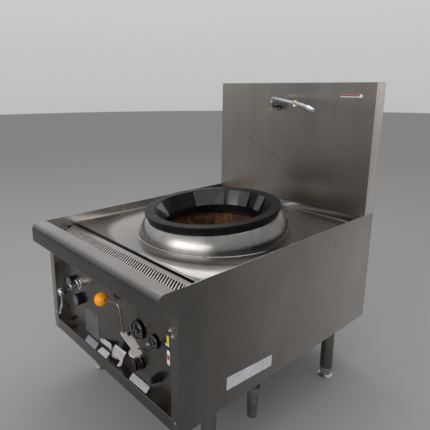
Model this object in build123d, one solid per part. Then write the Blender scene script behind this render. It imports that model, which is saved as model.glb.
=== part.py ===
from build123d import *
import math
import os

# A single-burner wok range in folded stainless sheet, on four tube legs, with a splashback.
# Millimetres, +Z up, the cook stands at -Y. Shapes are drawn from the middle of the cabinet's
# front lower edge: x to the cook's right, y back from the cabinet face, z up from its underside.
# The last step carries every piece to the floor frame, with the origin under the middle.

# ---- overall sizes ----
cabinet_width = 600.0
cabinet_depth = 788.0
cabinet_height = 347.0
leg_height = 185.0
splashback_rise = 390.0
splashback_depth = 51.0
sheet = 1.5
fit_gap = 0.3
fold_radius = 3.0
small_fold = 2.5
cut_past = 1.0

# ---- front: bullnose rail, recessed control panel, apron ----
rail_reach = 48.0
rail_face = 54.0
rail_round = 18.0
rail_back = -3.0
rail_return = 46.0
gutter_wall = 38.0
side_flange = 24.0
panel_setback = 28.0
ledge_height = 33.0
apron_return = 20.0
apron_upturn = 17.0
pan_setback = 12.0
pan_height = 18.0
pan_hole_gap = 4.0

# ---- worktop, gutter and strainer ----
deck_drop = 29.0
deck_front = 96.0
deck_front_fold = 20.0
deck_side_fold = 18.0
dish_depth = 12.0
dish_rim_radius = 262.0
dish_slope = 22.0
deck_hole_radius = 196.0
upstand_rise = 23.0
upstand_lap = 24.0
cover_fold = 15.0
trough_step_drop = 51.0
trough_depth = 38.0
trough_lip = 12.0
channel_front = 50.0
channel_width = 30.0
strainer_drop = 31.0
strainer_front = 3.0
strainer_back = 84.0
strainer_side_gap = 2.0
slot_end_land = 50.0
slot_pitch = 11.0
slot_width = 5.4
slot_length = 42.0
slot_back_land = 8.0
drain_radius = 14.0
drain_flange = 5.0
drain_drop = 28.0
drain_tail_radius = 12.5
drain_side_gap = 50.0

# ---- wok ring and the collar under it: both lean towards the cook ----
ring_y = 388.0
ring_top = 384.0
ring_pitch = 3.9
ring_roll = 1.7
ring_radius = 202.0
ring_mouth = 175.0
ring_edge = 8.0
ring_shoulder_radius = 195.0
ring_seat_drop = 20.0
ring_skirt_radius = 175.0
ring_skirt_foot_radius = 166.0
ring_depth = 70.0
ring_throat = 149.0
ring_throat_drop = 46.0
ring_recess = 6.0
ring_shoulder_step = 5.0
pad_top_drop = 2.0
pad_nose = 1.0
pad_root = 3.0
pad_foot = 4.0
pad_arcs = [(121, 157), (89, 116), (64, 76), (-76, -64), (-116, -89), (-157, -121)]
ring_hole_radius = 2.4
ring_hole_angle = -13.0
ring_hole_depth = 5.0
collar_lip_inner = 178.5
collar_shoulder = 201.0
collar_waist = 229.0
collar_foot = 227.0
collar_shoulder_drop = 4.0
collar_waist_drop = 60.0
collar_skirt_run = 60.0
collar_lip_turn = 6.0
collar_thinning = 0.4
collar_bulge_out = 0.76
collar_bulge_down = 0.34

# ---- fire chamber and burner ----
chamber_radius = 188.0
chamber_wall = 3.0
chamber_depth = 150.0
chamber_cone_drop = 45.0
chamber_floor_radius = 120.0
chamber_mouth = 44.0
chamber_flange = 10.0
shield_gap = 12.0
burner_radius = 55.0
burner_height = 42.0
burner_base_radius = 30.0
burner_ports = 18
burner_port_radius = 2.5
burner_port_length = 12.0
burner_neck = 10.0
burner_round = 14.0
burner_crown = 12.0
burner_flange = 8.0
burner_flange_thickness = 2.5
mixer_radius = 25.0
mixer_wall = 3.0
mixer_mouth_y = 232.0
mixer_bend = 40.0
bell_flare = 11.0
bell_length = 18.0
jet_gap = 22.0
jet_hex = 24.0
jet_hex_length = 14.0
jet_radius = 5.0
jet_length = 16.0
jet_bore = 1.2
pilot_gap = 17.0
pilot_bracket = 8.0
pilot_plate = 2.5
pilot_radius = 5.0
pilot_height = 34.0
pilot_hood_radius = 7.0
pilot_hood_height = 13.0
pilot_hood_skirt = 8.0
pilot_hood_top = 3.0

# ---- controls: each axis by its gap from the nearer side and its height, and its reach off the panel ----
tap_side_gap = 122.0
tap_z = 171.3
tap_reach = 64.0
tap_radius = 6.0
tap_sleeve_radius = 8.0
tap_sleeve_length = 26.0
tap_flange = 30.0
tap_flange_thickness = 5.0
tap_ring_radius = 11.0
tap_ring_length = 11.0
tap_ring_edge = 1.0
tap_bonnet_radius = 10.0
tap_bonnet_length = 13.0
tap_slot_width = 7.0
tap_lever_length = 66.0
tap_lever_width = 6.0
tap_lever_thickness = 3.0
tap_lever_set_back = 7.0
tap_lever_lean = 3.0
tap_lever_knee = 28.0
tap_lever_pin_drop = 5.0
tap_lever_bend = 40.0
tap_slot_depth = 12.0
tap_slot_top = 3.0
tap_edge = 3.0
tap_nut_length = 6.0
tap_tail = 26.0
upper_knob_side_gap = 89.0
upper_knob_z = 174.0
lower_knob_side_gap = 125.0
lower_knob_z = 131.5
plain_knob_radius = 15.0
plain_knob_reach = 20.0
plain_knob_dome = 7.0
gas_knob_side_gap = 174.0
gas_knob_z = 79.0
gas_knob_reach = 19.0
gas_knob_radius = 15.5
gas_knob_skirt = 4.0
gas_knob_bar = 9.0
gas_knob_bar_rise = 6.0
igniter_side_gap = 102.3
igniter_z = 78.8
igniter_reach = 24.0
igniter_radius = 8.5
igniter_bezel_radius = 11.0
igniter_bezel = 5.0
igniter_button_radius = 5.5
igniter_button_length = 20.0
igniter_travel = 4.0
wheel_1_side_gap = 179.0
wheel_1_z = 167.0
wheel_1_radius = 24.5
wheel_1_reach = 31.0
wheel_2_side_gap = 116.5
wheel_2_z = 164.5
wheel_2_radius = 17.5
wheel_2_reach = 21.0
wheel_gap = 3.0
wheel_thickness = 8.0
wheel_lip = 3.0
wheel_web = 2.5
wheel_edge = 1.0
wheel_hub_radius = 6.5
wheel_cap_radius = 5.5
wheel_cap_length = 4.0
spindle_radius = 4.0
cock_spindle_radius = 3.0
knob_clearance = 1.0
knob_taper = 1.5
knob_face_edge = 1.5
knob_bore_share = 0.6
valve_body_back = 30.0
valve_body_radius = 13.0
valve_hex = 24.0
valve_hex_length = 8.0
valve_riser_radius = 8.0
valve_spindle_back = 22.0
valve_overrun = 9.0
cock_radius = 9.0
cock_back = 9.0
cock_outlet_setback = 12.0
cock_outlet_radius = 5.0
cock_outlet_rise = 10.0
cock_saddle_radius = 8.0
igniter_mouth = 2.0
igniter_back = 24.0
igniter_hex = 24.0
igniter_hex_length = 5.0
igniter_button_edge = 1.2
running_clearance = 0.05

# ---- swing lever of the main gas valve ----
pivot_side_gap = 128.0
pivot_y = -8.0
arm_z = 152.0
arm_sheet = 2.5
arm_lip = 6.0
lobe_side_gap = 132.0
lobe_y = -22.0
lobe_radius = 11.0
rod_side_gap = 213.0
rod_y = 3.0
rod_radius = 3.0
rod_top = 222.0
rod_bend = 16.0
ball_side_gap = 302.0
ball_y = 0.0
ball_z = 207.0
ball_radius = 18.0
ball_bore = 8.0
lever_head_radius = 8.0
lever_head_height = 13.0
lever_stub_radius = 5.5
lever_stub_drop = 7.5
lever_pin_radius = 3.0
lever_pin_rise = 2.0
lever_nut_length = 8.0
lever_toe = 7.0
lever_back_far = 42.0
lever_heel = 14.0
lever_heel_depth = 19.0
rod_inset_x = 4.0
rod_inset_y = 2.0
rod_tail = 6.0
rod_straight = 16.0
rod_foot_bend = 30.0
rod_nut = 10.0
rod_nut_height = 4.5

# ---- gas and water pipes ----
inlet_side_gap = 40.0
inlet_y = 291.0
inlet_radius = 13.2
inlet_wall = 3.0
inlet_drop = 131.0
inlet_nut_drop = 52.0
inlet_nut_height = 14.0
inlet_seam_drop = 110.0
inlet_turn_z = 36.0
inlet_nut_lap = 4.0
inlet_socket_wall = 1.6
gas_pipe_radius = 13.2
gas_pipe_bend = 20.0
manifold_bend = 30.0
burner_pipe_radius = 10.2
burner_pipe_bend = 18.0
burner_pipe_end = 36.0
manifold_gap = 48.5
manifold_z = 66.0
manifold_left = 20.0
pilot_tube_radius = 3.0
pilot_tube_z = 118.0
pilot_tube_turn_y = 130.0
pilot_tube_back_y = 150.0
pilot_tube_bend = 8.0
pilot_tube_sweep = 12.0
header_gap = 70.5
header_z = 240.0
header_low_z = 60.0
header_side_gap = 40.0
header_turn = 60.0
header_overrun = 20.0
header_bend = 18.0
water_pipe_radius = 7.5
tap_pipe_radius = 5.0
tap_pipe_bend = 12.0
water_inlet_side_gap = 100.0
water_inlet_end_gap = 88.0
water_inlet_drop = 35.0
faucet_pipe_side_gap = 38.0
faucet_pipe_turn = 28.0

# ---- swivel faucet on the splashback ----
faucet_x = -36.0
faucet_reach = 37.0
faucet_outlet_z = 663.0
faucet_flange_radius = 17.0
faucet_flange_thickness = 4.0
faucet_stub_radius = 7.0
faucet_cap_hex = 16.0
faucet_post_radius = 8.5
faucet_post_foot = 648.0
faucet_cap_height = 7.6
faucet_post_top = 674.0
faucet_tube_radius = 5.5
faucet_arm_z = 689.0
faucet_bend = 14.0
joint_x = 131.0
joint_reach = 143.0
joint_z = 680.0
joint_radius = 8.0
joint_half = 12.0
joint_pin_radius = 4.0
joint_cap = 2.0
joint_inset = 2.0
nozzle_x = 230.0
nozzle_reach = 234.0
nozzle_z = 678.0
nozzle_lead = 8.0
nozzle_tip_x = 262.0
nozzle_tip_reach = 250.0
nozzle_tip_z = 670.0
nozzle_radius = 6.5
nozzle_step = 2.0
nozzle_tube_radius = 4.7
nozzle_bend = 12.0
faucet_pipe_radius = 6.0
faucet_pipe_bend = 16.0
faucet_pipe_wide_bend = 18.0

# ---- legs ----
leg_radius = 19.0
leg_wall = 1.5
leg_inset_side = 42.0
leg_inset_end = 130.0
foot_rise = 32.0
foot_radius = 18.0
foot_flange_radius = 23.0
foot_flange = 5.0
foot_stem_radius = 6.0
foot_stem_length = 55.0
foot_edge = 1.5
foot_slope = 3.0
foot_waist = 2.0
foot_shoulder = 8.0
leg_plug = 12.0
socket_size = 80.0
socket_plate = 3.0
socket_bush_depth = 30.0
socket_bush_bore = 10.0

# ---- worked out from the sizes above ----
half_width = cabinet_width / 2
inside = half_width - sheet - fit_gap
rim = cabinet_height
cabinet_front = -(cabinet_depth - rail_reach) / 2
rail_bottom = rim - rail_face
deck_z = rim - deck_drop
dish_z = deck_z - dish_depth
splash_front = cabinet_depth - splashback_depth
splash_foot = deck_z + upstand_rise
splash_top = rim + splashback_rise
panel_back = panel_setback + sheet
step_z = rim - trough_step_drop
channel_z = step_z - trough_depth
strainer_z = rim - strainer_drop
foot_z = step_z + sheet
chamber_top = dish_z - sheet
chamber_bottom = chamber_top - chamber_depth
burner_z = chamber_bottom + chamber_wall
mixer_height = manifold_z
dish_floor_radius = dish_rim_radius - dish_slope
slot_count = round((cabinet_width - slot_end_land) / slot_pitch)
drain_x = drain_side_gap - half_width
drain_y = channel_front + channel_width / 2
pilot_x = -burner_radius - pilot_gap
tap_x = tap_side_gap - half_width
upper_knob_x = upper_knob_side_gap - half_width
lower_knob_x = lower_knob_side_gap - half_width
gas_knob_x = half_width - gas_knob_side_gap
igniter_x = half_width - igniter_side_gap
wheel_1_x = half_width - wheel_1_side_gap
wheel_2_x = half_width - wheel_2_side_gap
pivot_x = half_width - pivot_side_gap
lobe_x = half_width - lobe_side_gap
rod_x = half_width - rod_side_gap
ball_x = half_width - ball_side_gap
rod_foot_x = rod_x + rod_inset_x
rod_foot_y = rod_y + rod_inset_y
tap_front = panel_setback - tap_reach
plain_knob_front = panel_setback - plain_knob_reach
gas_knob_front = panel_setback - gas_knob_reach
igniter_front = panel_setback - igniter_reach
inlet_x = half_width - inlet_side_gap
manifold_y = panel_back + manifold_gap
header_y = panel_back + header_gap
header_x = header_side_gap - half_width
water_inlet_x = water_inlet_side_gap - half_width
water_inlet_y = cabinet_depth - water_inlet_end_gap
faucet_y = splash_front - faucet_reach
joint_y = splash_front - joint_reach
nozzle_y = splash_front - nozzle_reach
nozzle_tip_y = splash_front - nozzle_tip_reach


# ---- helpers ----
def mitred(points, thickness):
    """The line `thickness` to the right of an open line, with its corners mitred."""
    normals = []
    for (x0, y0), (x1, y1) in zip(points, points[1:]):
        length = math.hypot(x1 - x0, y1 - y0)
        normals.append(((y1 - y0) / length, -(x1 - x0) / length))
    moved = []
    for index, (x, y) in enumerate(points):
        before = normals[max(index - 1, 0)]
        after = normals[min(index, len(normals) - 1)]
        share = thickness / (1 + before[0] * after[0] + before[1] * after[1])
        moved.append((x + share * (before[0] + after[0]), y + share * (before[1] + after[1])))
    return moved


def folded(points, bends, low, high, thickness=sheet):
    """Sheet folded along `points` in the YZ plane, with outside bend radii, from x=low to x=high."""
    inner = mitred(points, thickness)
    inner_bends = []
    for index, radius in enumerate(bends):
        (x0, y0), (x1, y1), (x2, y2) = points[index:index + 3]
        turn = (x1 - x0) * (y2 - y1) - (y1 - y0) * (x2 - x1)
        changed = radius - thickness if turn < 0 else radius + thickness
        inner_bends.append(changed if radius > 0 else 0)
    outline = FilletPolyline(*points, radius=bends).edges()
    outline += FilletPolyline(*inner, radius=inner_bends).edges()
    outline.append(Line(points[0], inner[0]).edge())
    outline.append(Line(points[-1], inner[-1]).edge())
    section = Plane.YZ * make_face(outline)
    return extrude(Pos(low, 0, 0) * section, amount=high - low, dir=(1, 0, 0))


def block(low, high):
    """A plain box between two corners, for cuts and flat returns."""
    size = [b - a for a, b in zip(low, high)]
    middle = [(a + b) / 2 for a, b in zip(low, high)]
    return Pos(*middle) * Box(*size)


def turned(points, axis_plane):
    """A solid of revolution from (radius, height) points about the plane's Z axis."""
    section = make_face(Polyline(*[(r, h) for r, h in points], close=True))
    return axis_plane * revolve(Plane.XZ * section, Axis.Z)


def rod_along_y(x, z, radius, y_from, y_to):
    """A round bar along Y between two depths."""
    plane = Plane(origin=(x, min(y_from, y_to), z), z_dir=(0, 1, 0))
    return extrude(plane * Circle(radius), amount=abs(y_to - y_from))


def post(x, y, radius, z_from, z_to):
    """A round bar along Z between two heights."""
    plane = Plane(origin=(x, y, min(z_from, z_to)))
    return extrude(plane * Circle(radius), amount=abs(z_to - z_from))


def pipe(points, radius, bend, bore=0.0):
    """A round pipe swept along straight runs joined by bends."""
    path = FilletPolyline(*points, radius=bend) if bend else Line(*points)
    plane = Plane(origin=points[0], z_dir=Vector(*points[1]) - Vector(*points[0]))
    section = plane * Circle(radius)
    if bore > 0:
        section -= plane * Circle(bore)
    return sweep(section, path=Wire(path.edges()))


def coped(stub, y, z, radius):
    """A stub with its end cut to sit on a pipe that runs along X."""
    plane = Plane(origin=(-half_width, y, z), z_dir=(1, 0, 0))
    return stub - extrude(plane * Circle(radius), amount=cabinet_width)


def hexagon_along_y(x, z, across, y_from, y_to):
    """A hexagon bar along Y, for nuts and bonnets."""
    plane = Plane(origin=(x, min(y_from, y_to), z), z_dir=(0, 1, 0))
    return extrude(plane * RegularPolygon(across / 2, 6, major_radius=False), amount=abs(y_to - y_from))


# ---- cabinet shell ----
def side_panel(side):
    """One side: a flat skin whose front follows the rail, with returns at foot and back and a boxed front."""
    corners = [
        (0, 0), (cabinet_depth, 0), (cabinet_depth, rim),
        (-rail_reach, rim), (-rail_reach, rail_bottom), (0, rail_bottom),
    ]
    outline = FilletPolyline(*corners, radius=[0, 0, 0, rail_round, fold_radius, fold_radius], close=True)
    skin = extrude(Plane.YZ * make_face(outline.edges()), amount=sheet, dir=(1, 0, 0))
    skin = Pos(half_width - sheet, 0, 0) * skin
    flange_low = half_width - side_flange
    skin += block((flange_low, 0, 0), (half_width, sheet, rail_bottom))
    skin += block((flange_low, 0, 0), (half_width, cabinet_depth, sheet))
    skin += block((flange_low, cabinet_depth - sheet, 0), (half_width, cabinet_depth, rim))
    skin += block((flange_low, 0, 0), (flange_low + sheet, panel_setback - fit_gap, rail_bottom))
    return skin if side > 0 else mirror(skin, about=Plane.YZ)


def front_rail():
    """The bullnose rail: gutter wall, top, face, and the return over the control panel."""
    points = [
        (rail_back, rim - gutter_wall), (rail_back, rim), (-rail_reach, rim),
        (-rail_reach, rail_bottom), (rail_return, rail_bottom),
    ]
    points = points[::-1]
    return folded(points, [fold_radius, rail_round, fold_radius], -inside, inside)


def control_panel():
    """The recessed panel, flanged back under the rail, with a hole for each control."""
    points = [(panel_setback, ledge_height), (panel_setback, rail_bottom), (rail_return, rail_bottom)]
    panel = folded(points, [small_fold], -inside, inside)
    holes = [
        (tap_x, tap_z, tap_radius),
        (upper_knob_x, upper_knob_z, spindle_radius),
        (lower_knob_x, lower_knob_z, spindle_radius),
        (gas_knob_x, gas_knob_z, spindle_radius),
        (igniter_x, igniter_z, igniter_radius),
        (wheel_1_x, wheel_1_z, 2 * spindle_radius),
        (wheel_2_x, wheel_2_z, 2 * spindle_radius),
        (pivot_x, arm_z - lever_stub_drop, lever_stub_radius),
    ]
    for x, z, radius in holes:
        panel -= rod_along_y(x, z, radius + fit_gap, panel_setback - cut_past, panel_back + cut_past)
    return panel


def apron():
    """The folded front foot: bottom return, face, ledge and the upturn behind the panel."""
    points = [
        (apron_return, 0), (0, 0), (0, ledge_height),
        (panel_back, ledge_height), (panel_back, ledge_height + apron_upturn),
    ]
    reach = half_width - side_flange - fit_gap
    return folded(points, [small_fold, small_fold, 0], -reach, reach)


def base_pan():
    """The tray that closes the underside, standing on the side panels' foot returns."""
    front = panel_back + pan_setback
    back = cabinet_depth - 2 * sheet - fit_gap
    low = sheet
    high = sheet + pan_height
    tray = block((-inside, front, low), (inside, back, high))
    tray -= block(
        (-inside + sheet, front + sheet, low + sheet), (inside - sheet, back - sheet, high + cut_past),
    )
    tray -= post(inlet_x, inlet_y, inlet_radius + pan_hole_gap, 0, high)
    tray -= post(drain_x, drain_y, drain_radius + pan_hole_gap, 0, high)
    return tray - post(water_inlet_x, water_inlet_y, water_pipe_radius + pan_hole_gap, 0, high)


def rear_panel():
    """The flat back of the cabinet, inside the side panels' rear returns."""
    y = cabinet_depth - 2 * sheet
    return block((-inside, y, sheet), (inside, y + sheet, rim - fit_gap))


def worktop():
    """The deck: a flat plate with a round dish for the collar, folded front and sides, rear upstand."""
    back = splash_front + sheet
    points = [
        (deck_front, deck_z - deck_front_fold), (deck_front, deck_z),
        (back, deck_z), (back, splash_foot + upstand_lap),
    ]
    deck = folded(points, [small_fold, fold_radius], -inside, inside)
    for side in (-1, 1):
        low, high = sorted((side * inside, side * (inside - sheet)))
        deck += block(
            (low, deck_front + fold_radius, deck_z - deck_side_fold), (high, back, deck_z - sheet / 2),
        )
    deck -= post(0, ring_y, dish_rim_radius, deck_z - deck_side_fold / 2, deck_z + cut_past)
    lap = dish_rim_radius + cut_past
    section = [
        (lap, deck_z), (dish_rim_radius, deck_z), (dish_floor_radius, dish_z),
        (deck_hole_radius, dish_z), (deck_hole_radius, dish_z - sheet),
        (dish_floor_radius, dish_z - sheet), (dish_rim_radius, deck_z - sheet), (lap, deck_z - sheet),
    ]
    return deck + turned(section, Plane(origin=(0, ring_y, 0)))


# ---- splashback ----
def splash_shell():
    """The splashback's front, sides and top in one folded shell, open to the back."""
    shell = block((-half_width, splash_front, rim), (half_width, cabinet_depth, splash_top))
    shell -= block(
        (-half_width + sheet, splash_front + sheet, rim - cut_past),
        (half_width - sheet, cabinet_depth + cut_past, splash_top - sheet),
    )
    shell += block((-inside, splash_front, splash_foot), (inside, splash_front + sheet, rim))
    hole_radius = faucet_pipe_radius + fit_gap
    hole_back = splash_front + sheet + cut_past
    return shell - rod_along_y(faucet_x, faucet_outlet_z, hole_radius, splash_front - cut_past, hole_back)


def splash_cover():
    """The lift-off back of the splashback, let in between its sides, with stiffening folds."""
    back = cabinet_depth - fit_gap
    top = splash_top - sheet - fit_gap
    cover = block((-inside, back - sheet, rim), (inside, back, top))
    for side in (-1, 1):
        low, high = sorted((side * inside, side * (inside - sheet)))
        cover += block((low, back - cover_fold, rim), (high, back, top))
    return cover


# ---- gutter ----
def gutter_trough():
    """The gutter: a shallow step each side and a channel between them, closed at both ends."""
    front = rail_back + fit_gap
    back = deck_front - fit_gap
    lip = step_z + trough_lip
    far = channel_front + channel_width
    outer = [
        (front, lip), (front, step_z), (channel_front, step_z), (channel_front, channel_z),
        (far, channel_z), (far, step_z), (back, step_z), (back, lip),
    ]
    inner = [
        (front + sheet, lip + cut_past), (front + sheet, foot_z),
        (channel_front + sheet, foot_z), (channel_front + sheet, channel_z + sheet),
        (far - sheet, channel_z + sheet), (far - sheet, foot_z),
        (back - sheet, foot_z), (back - sheet, lip + cut_past),
    ]
    trough = extrude(Plane.YZ * make_face(Polyline(*outer, close=True)), amount=inside, both=True)
    hollow = extrude(Plane.YZ * make_face(Polyline(*inner, close=True)), amount=inside - sheet, both=True)
    trough -= hollow
    return trough - post(drain_x, drain_y, drain_radius - sheet, channel_z - cut_past, lip)


def strainer():
    """The lift-out strainer: a channel with legs on the gutter's steps and a row of cross slots."""
    points = [
        (strainer_front, foot_z), (strainer_front, strainer_z), (strainer_back, strainer_z),
        (strainer_back, foot_z),
    ]
    edge = inside - sheet - strainer_side_gap
    plate = folded(points, [small_fold, small_fold], -edge, edge)
    slot_y = strainer_back - slot_back_land - slot_length / 2
    start = -(slot_count - 1) * slot_pitch / 2
    cuts = [
        Pos(start + index * slot_pitch, slot_y, strainer_z) * Box(slot_width, slot_length, 4 * sheet)
        for index in range(slot_count)
    ]
    return plate - cuts


def drain_spigot():
    """The waste outlet under the gutter, flanged in the channel and open below the cabinet."""
    top = channel_z
    spigot = post(drain_x, drain_y, drain_radius, -sheet, top)
    spigot += post(drain_x, drain_y, drain_tail_radius, -drain_drop, 0)
    spigot -= post(drain_x, drain_y, drain_radius - 2 * sheet, -drain_drop - cut_past, top + cut_past)
    flange = post(drain_x, drain_y, drain_radius + drain_flange - sheet, top - 2 * sheet, top)
    return spigot + (flange - post(drain_x, drain_y, drain_radius - sheet, 0, top + cut_past))


# ---- wok ring, collar, chamber ----
def ring_plane():
    """The plane of the ring's top, leaning to the front and a little to the cook's left."""
    lean_x = -math.tan(math.radians(ring_roll))
    lean_y = -math.tan(math.radians(ring_pitch))
    return Plane(origin=(0, ring_y, ring_top), x_dir=(1, 0, -lean_x), z_dir=(lean_x, lean_y, 1))


def wok_ring():
    """The cast ring: flat top, undercut edge, deep skirt, and pads standing in the conical seat."""
    plane = ring_plane()
    body = turned(
        [
            (ring_mouth, 0), (ring_radius, 0), (ring_radius, -ring_edge),
            (ring_shoulder_radius, -ring_edge - ring_shoulder_step),
            (ring_shoulder_radius, -ring_seat_drop),
            (ring_skirt_radius, -ring_seat_drop), (ring_skirt_foot_radius, -ring_depth),
            (ring_throat + ring_recess, -ring_depth), (ring_throat + ring_recess, -ring_throat_drop),
        ],
        plane,
    )
    pad_back = ring_throat + ring_recess + pad_root
    pad_section = [
        (ring_mouth - pad_nose, -pad_top_drop), (ring_mouth + pad_root, -2 * pad_top_drop),
        (pad_back, -ring_throat_drop + pad_foot), (pad_back, -ring_throat_drop),
        (ring_throat, -ring_throat_drop),
    ]
    face = Plane.XZ * make_face(Polyline(*pad_section, close=True))
    for start, end in pad_arcs:
        pad = revolve(Rot(0, 0, start) * face, Axis.Z, revolution_arc=end - start)
        body += plane * pad
    hole = Rot(0, 0, ring_hole_angle) * Pos((ring_mouth + ring_radius) / 2, 0, -ring_hole_depth / 2)
    return body - plane * (hole * Cylinder(ring_hole_radius, ring_hole_depth))


def collar():
    """The spun collar: a lip under the ring, a round shoulder and a waist standing on the deck."""
    lip = -ring_seat_drop
    shoulder = lip - collar_shoulder_drop
    waist = lip - collar_waist_drop
    foot = -ring_depth - collar_skirt_run
    turn = collar_shoulder - collar_lip_turn
    bulge_r = collar_shoulder + collar_bulge_out * (collar_waist - collar_shoulder)
    bulge_h = shoulder + collar_bulge_down * (waist - shoulder)
    outer_arc = ThreePointArc((collar_shoulder, shoulder), (bulge_r, bulge_h), (collar_waist, waist))
    inner_arc = ThreePointArc(
        (collar_shoulder - collar_thinning, shoulder - sheet), (bulge_r - sheet, bulge_h - sheet / 2),
        (collar_waist - sheet, waist),
    )
    edges = [
        Line((collar_lip_inner, lip), (turn, lip)).edge(),
        Line((turn, lip), (collar_shoulder, shoulder)).edge(),
        outer_arc.edge(),
        Line((collar_waist, waist), (collar_foot, foot)).edge(),
        Line((collar_foot, foot), (collar_foot - sheet, foot)).edge(),
        Line((collar_foot - sheet, foot), (collar_waist - sheet, waist)).edge(),
        inner_arc.edge(),
        Line((collar_shoulder - collar_thinning, shoulder - sheet), (turn - cut_past, lip - sheet)).edge(),
        Line((turn - cut_past, lip - sheet), (collar_lip_inner, lip - sheet)).edge(),
        Line((collar_lip_inner, lip - sheet), (collar_lip_inner, lip)).edge(),
    ]
    shell = ring_plane() * revolve(Plane.XZ * make_face(edges), Axis.Z)
    reach = 2 * collar_waist
    return shell - block((-reach, ring_y - reach, dish_z - reach), (reach, ring_y + reach, dish_z))


def fire_chamber():
    """The steel fire chamber hung under the deck, coned in at the bottom round the burner."""
    wall = chamber_wall
    cone_top = chamber_bottom + chamber_cone_drop
    flange = deck_hole_radius + chamber_flange
    section = [
        (flange, chamber_top), (chamber_radius, chamber_top),
        (chamber_radius, cone_top), (chamber_floor_radius, chamber_bottom + wall),
        (chamber_mouth, chamber_bottom + wall), (chamber_mouth, chamber_bottom),
        (chamber_floor_radius + cut_past, chamber_bottom), (chamber_radius + wall, cone_top - cut_past),
        (chamber_radius + wall, chamber_top - wall), (flange, chamber_top - wall),
    ]
    return turned(section, Plane(origin=(0, ring_y, 0)))


def heat_shield():
    """The outer jacket round the fire chamber, hung from the same flange."""
    radius = chamber_radius + chamber_wall + shield_gap
    top = chamber_top - chamber_wall
    section = [
        (radius, top), (radius + sheet, top), (radius + sheet, chamber_bottom), (radius, chamber_bottom),
    ]
    return turned(section, Plane(origin=(0, ring_y, 0)))


def burner_head():
    """The cast burner: a domed cup with a ring of ports, on a neck that drops through the floor."""
    plane = Plane(origin=(0, ring_y, burner_z))
    neck = -chamber_wall - burner_neck
    head = turned(
        [
            (0, neck), (burner_base_radius, neck), (burner_base_radius, burner_flange_thickness),
            (burner_radius, burner_round), (burner_radius, burner_height - burner_round),
            (burner_radius - burner_crown, burner_height), (0, burner_height),
        ],
        plane,
    )
    port_r = burner_radius - burner_crown / 2
    port_z = burner_height - burner_round / 2
    ports = [
        plane * Rot(0, 0, index * 360 / burner_ports) * Pos(port_r, 0, port_z)
        * Rot(0, 45, 0) * Cylinder(burner_port_radius, burner_port_length)
        for index in range(burner_ports)
    ]
    edge = chamber_mouth + burner_flange
    flange = turned(
        [(0, 0), (edge, 0), (edge, burner_flange_thickness), (0, burner_flange_thickness)], plane,
    )
    return (head - ports) + flange


def mixer_tube():
    """The gas and air mixing tube: a bell mouth towards the front, a bend, and a riser to the burner."""
    top = burner_z - chamber_wall - burner_neck
    path = [
        (0, mixer_mouth_y, mixer_height), (0, ring_y, mixer_height), (0, ring_y, top),
    ]
    tube = pipe(path, mixer_radius, mixer_bend, mixer_radius - mixer_wall)
    bell = turned(
        [
            (mixer_radius - mixer_wall, 0), (mixer_radius + bell_flare - mixer_wall, -bell_length),
            (mixer_radius + bell_flare, -bell_length), (mixer_radius, mixer_wall),
        ],
        Plane(origin=(0, mixer_mouth_y, mixer_height), z_dir=(0, 1, 0)),
    )
    return tube + bell


def injector():
    """The brass jet on its elbow at the mixing tube's mouth."""
    y = mixer_mouth_y - jet_gap
    nut = hexagon_along_y(0, mixer_height, jet_hex, y - jet_hex_length, y)
    jet = rod_along_y(0, mixer_height, jet_radius, y, y + jet_length)
    bore_back = y + jet_length + cut_past
    return nut + jet - rod_along_y(0, mixer_height, jet_bore, y - jet_hex_length - cut_past, bore_back)


def pilot_burner():
    """The pilot: a hooded nozzle on a bracket beside the burner."""
    half = pilot_bracket
    bracket = block((pilot_x - half, ring_y - half, burner_z),
                    (pilot_x + half, ring_y + half, burner_z + pilot_plate))
    nozzle = post(pilot_x, ring_y, pilot_radius, burner_z + pilot_plate, burner_z + pilot_height)
    hood = turned(
        [(0, 0), (pilot_hood_radius, 0), (pilot_hood_radius, pilot_hood_skirt),
         (pilot_hood_top, pilot_hood_height), (0, pilot_hood_height)],
        Plane(origin=(pilot_x, ring_y, burner_z + pilot_height)),
    )
    return bracket + nozzle + hood


# ---- gas pipework ----
def gas_inlet():
    """The threaded inlet below the cabinet, with its union nut and seam."""
    riser = post(inlet_x, inlet_y, inlet_radius, -inlet_drop, inlet_turn_z)
    nut_section = RegularPolygon(inlet_radius + inlet_nut_lap, 6, major_radius=False)
    nut = extrude(Pos(inlet_x, inlet_y, -inlet_nut_drop) * nut_section, amount=inlet_nut_height)
    socket_radius = inlet_radius + inlet_socket_wall
    socket = post(inlet_x, inlet_y, socket_radius, -inlet_seam_drop, -inlet_nut_drop - inlet_wall)
    bore = post(inlet_x, inlet_y, inlet_radius - inlet_wall, -inlet_drop - cut_past, 0)
    return riser + nut + socket - bore


def gas_manifold():
    """The bent supply pipe and the straight manifold behind the panel, with a stub for each valve."""
    points = [
        (inlet_x, inlet_y, inlet_turn_z), (inlet_x, inlet_y, manifold_z),
        (inlet_x, manifold_y, manifold_z), (manifold_left, manifold_y, manifold_z),
    ]
    return pipe(points, gas_pipe_radius, [gas_pipe_bend, manifold_bend])


def burner_feed():
    """The pipe from the manifold's end back to the injector."""
    points = [
        (manifold_left, manifold_y, manifold_z), (0, manifold_y, manifold_z),
        (0, mixer_mouth_y - burner_pipe_end, mixer_height),
    ]
    return pipe(points, burner_pipe_radius, [burner_pipe_bend])


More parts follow.
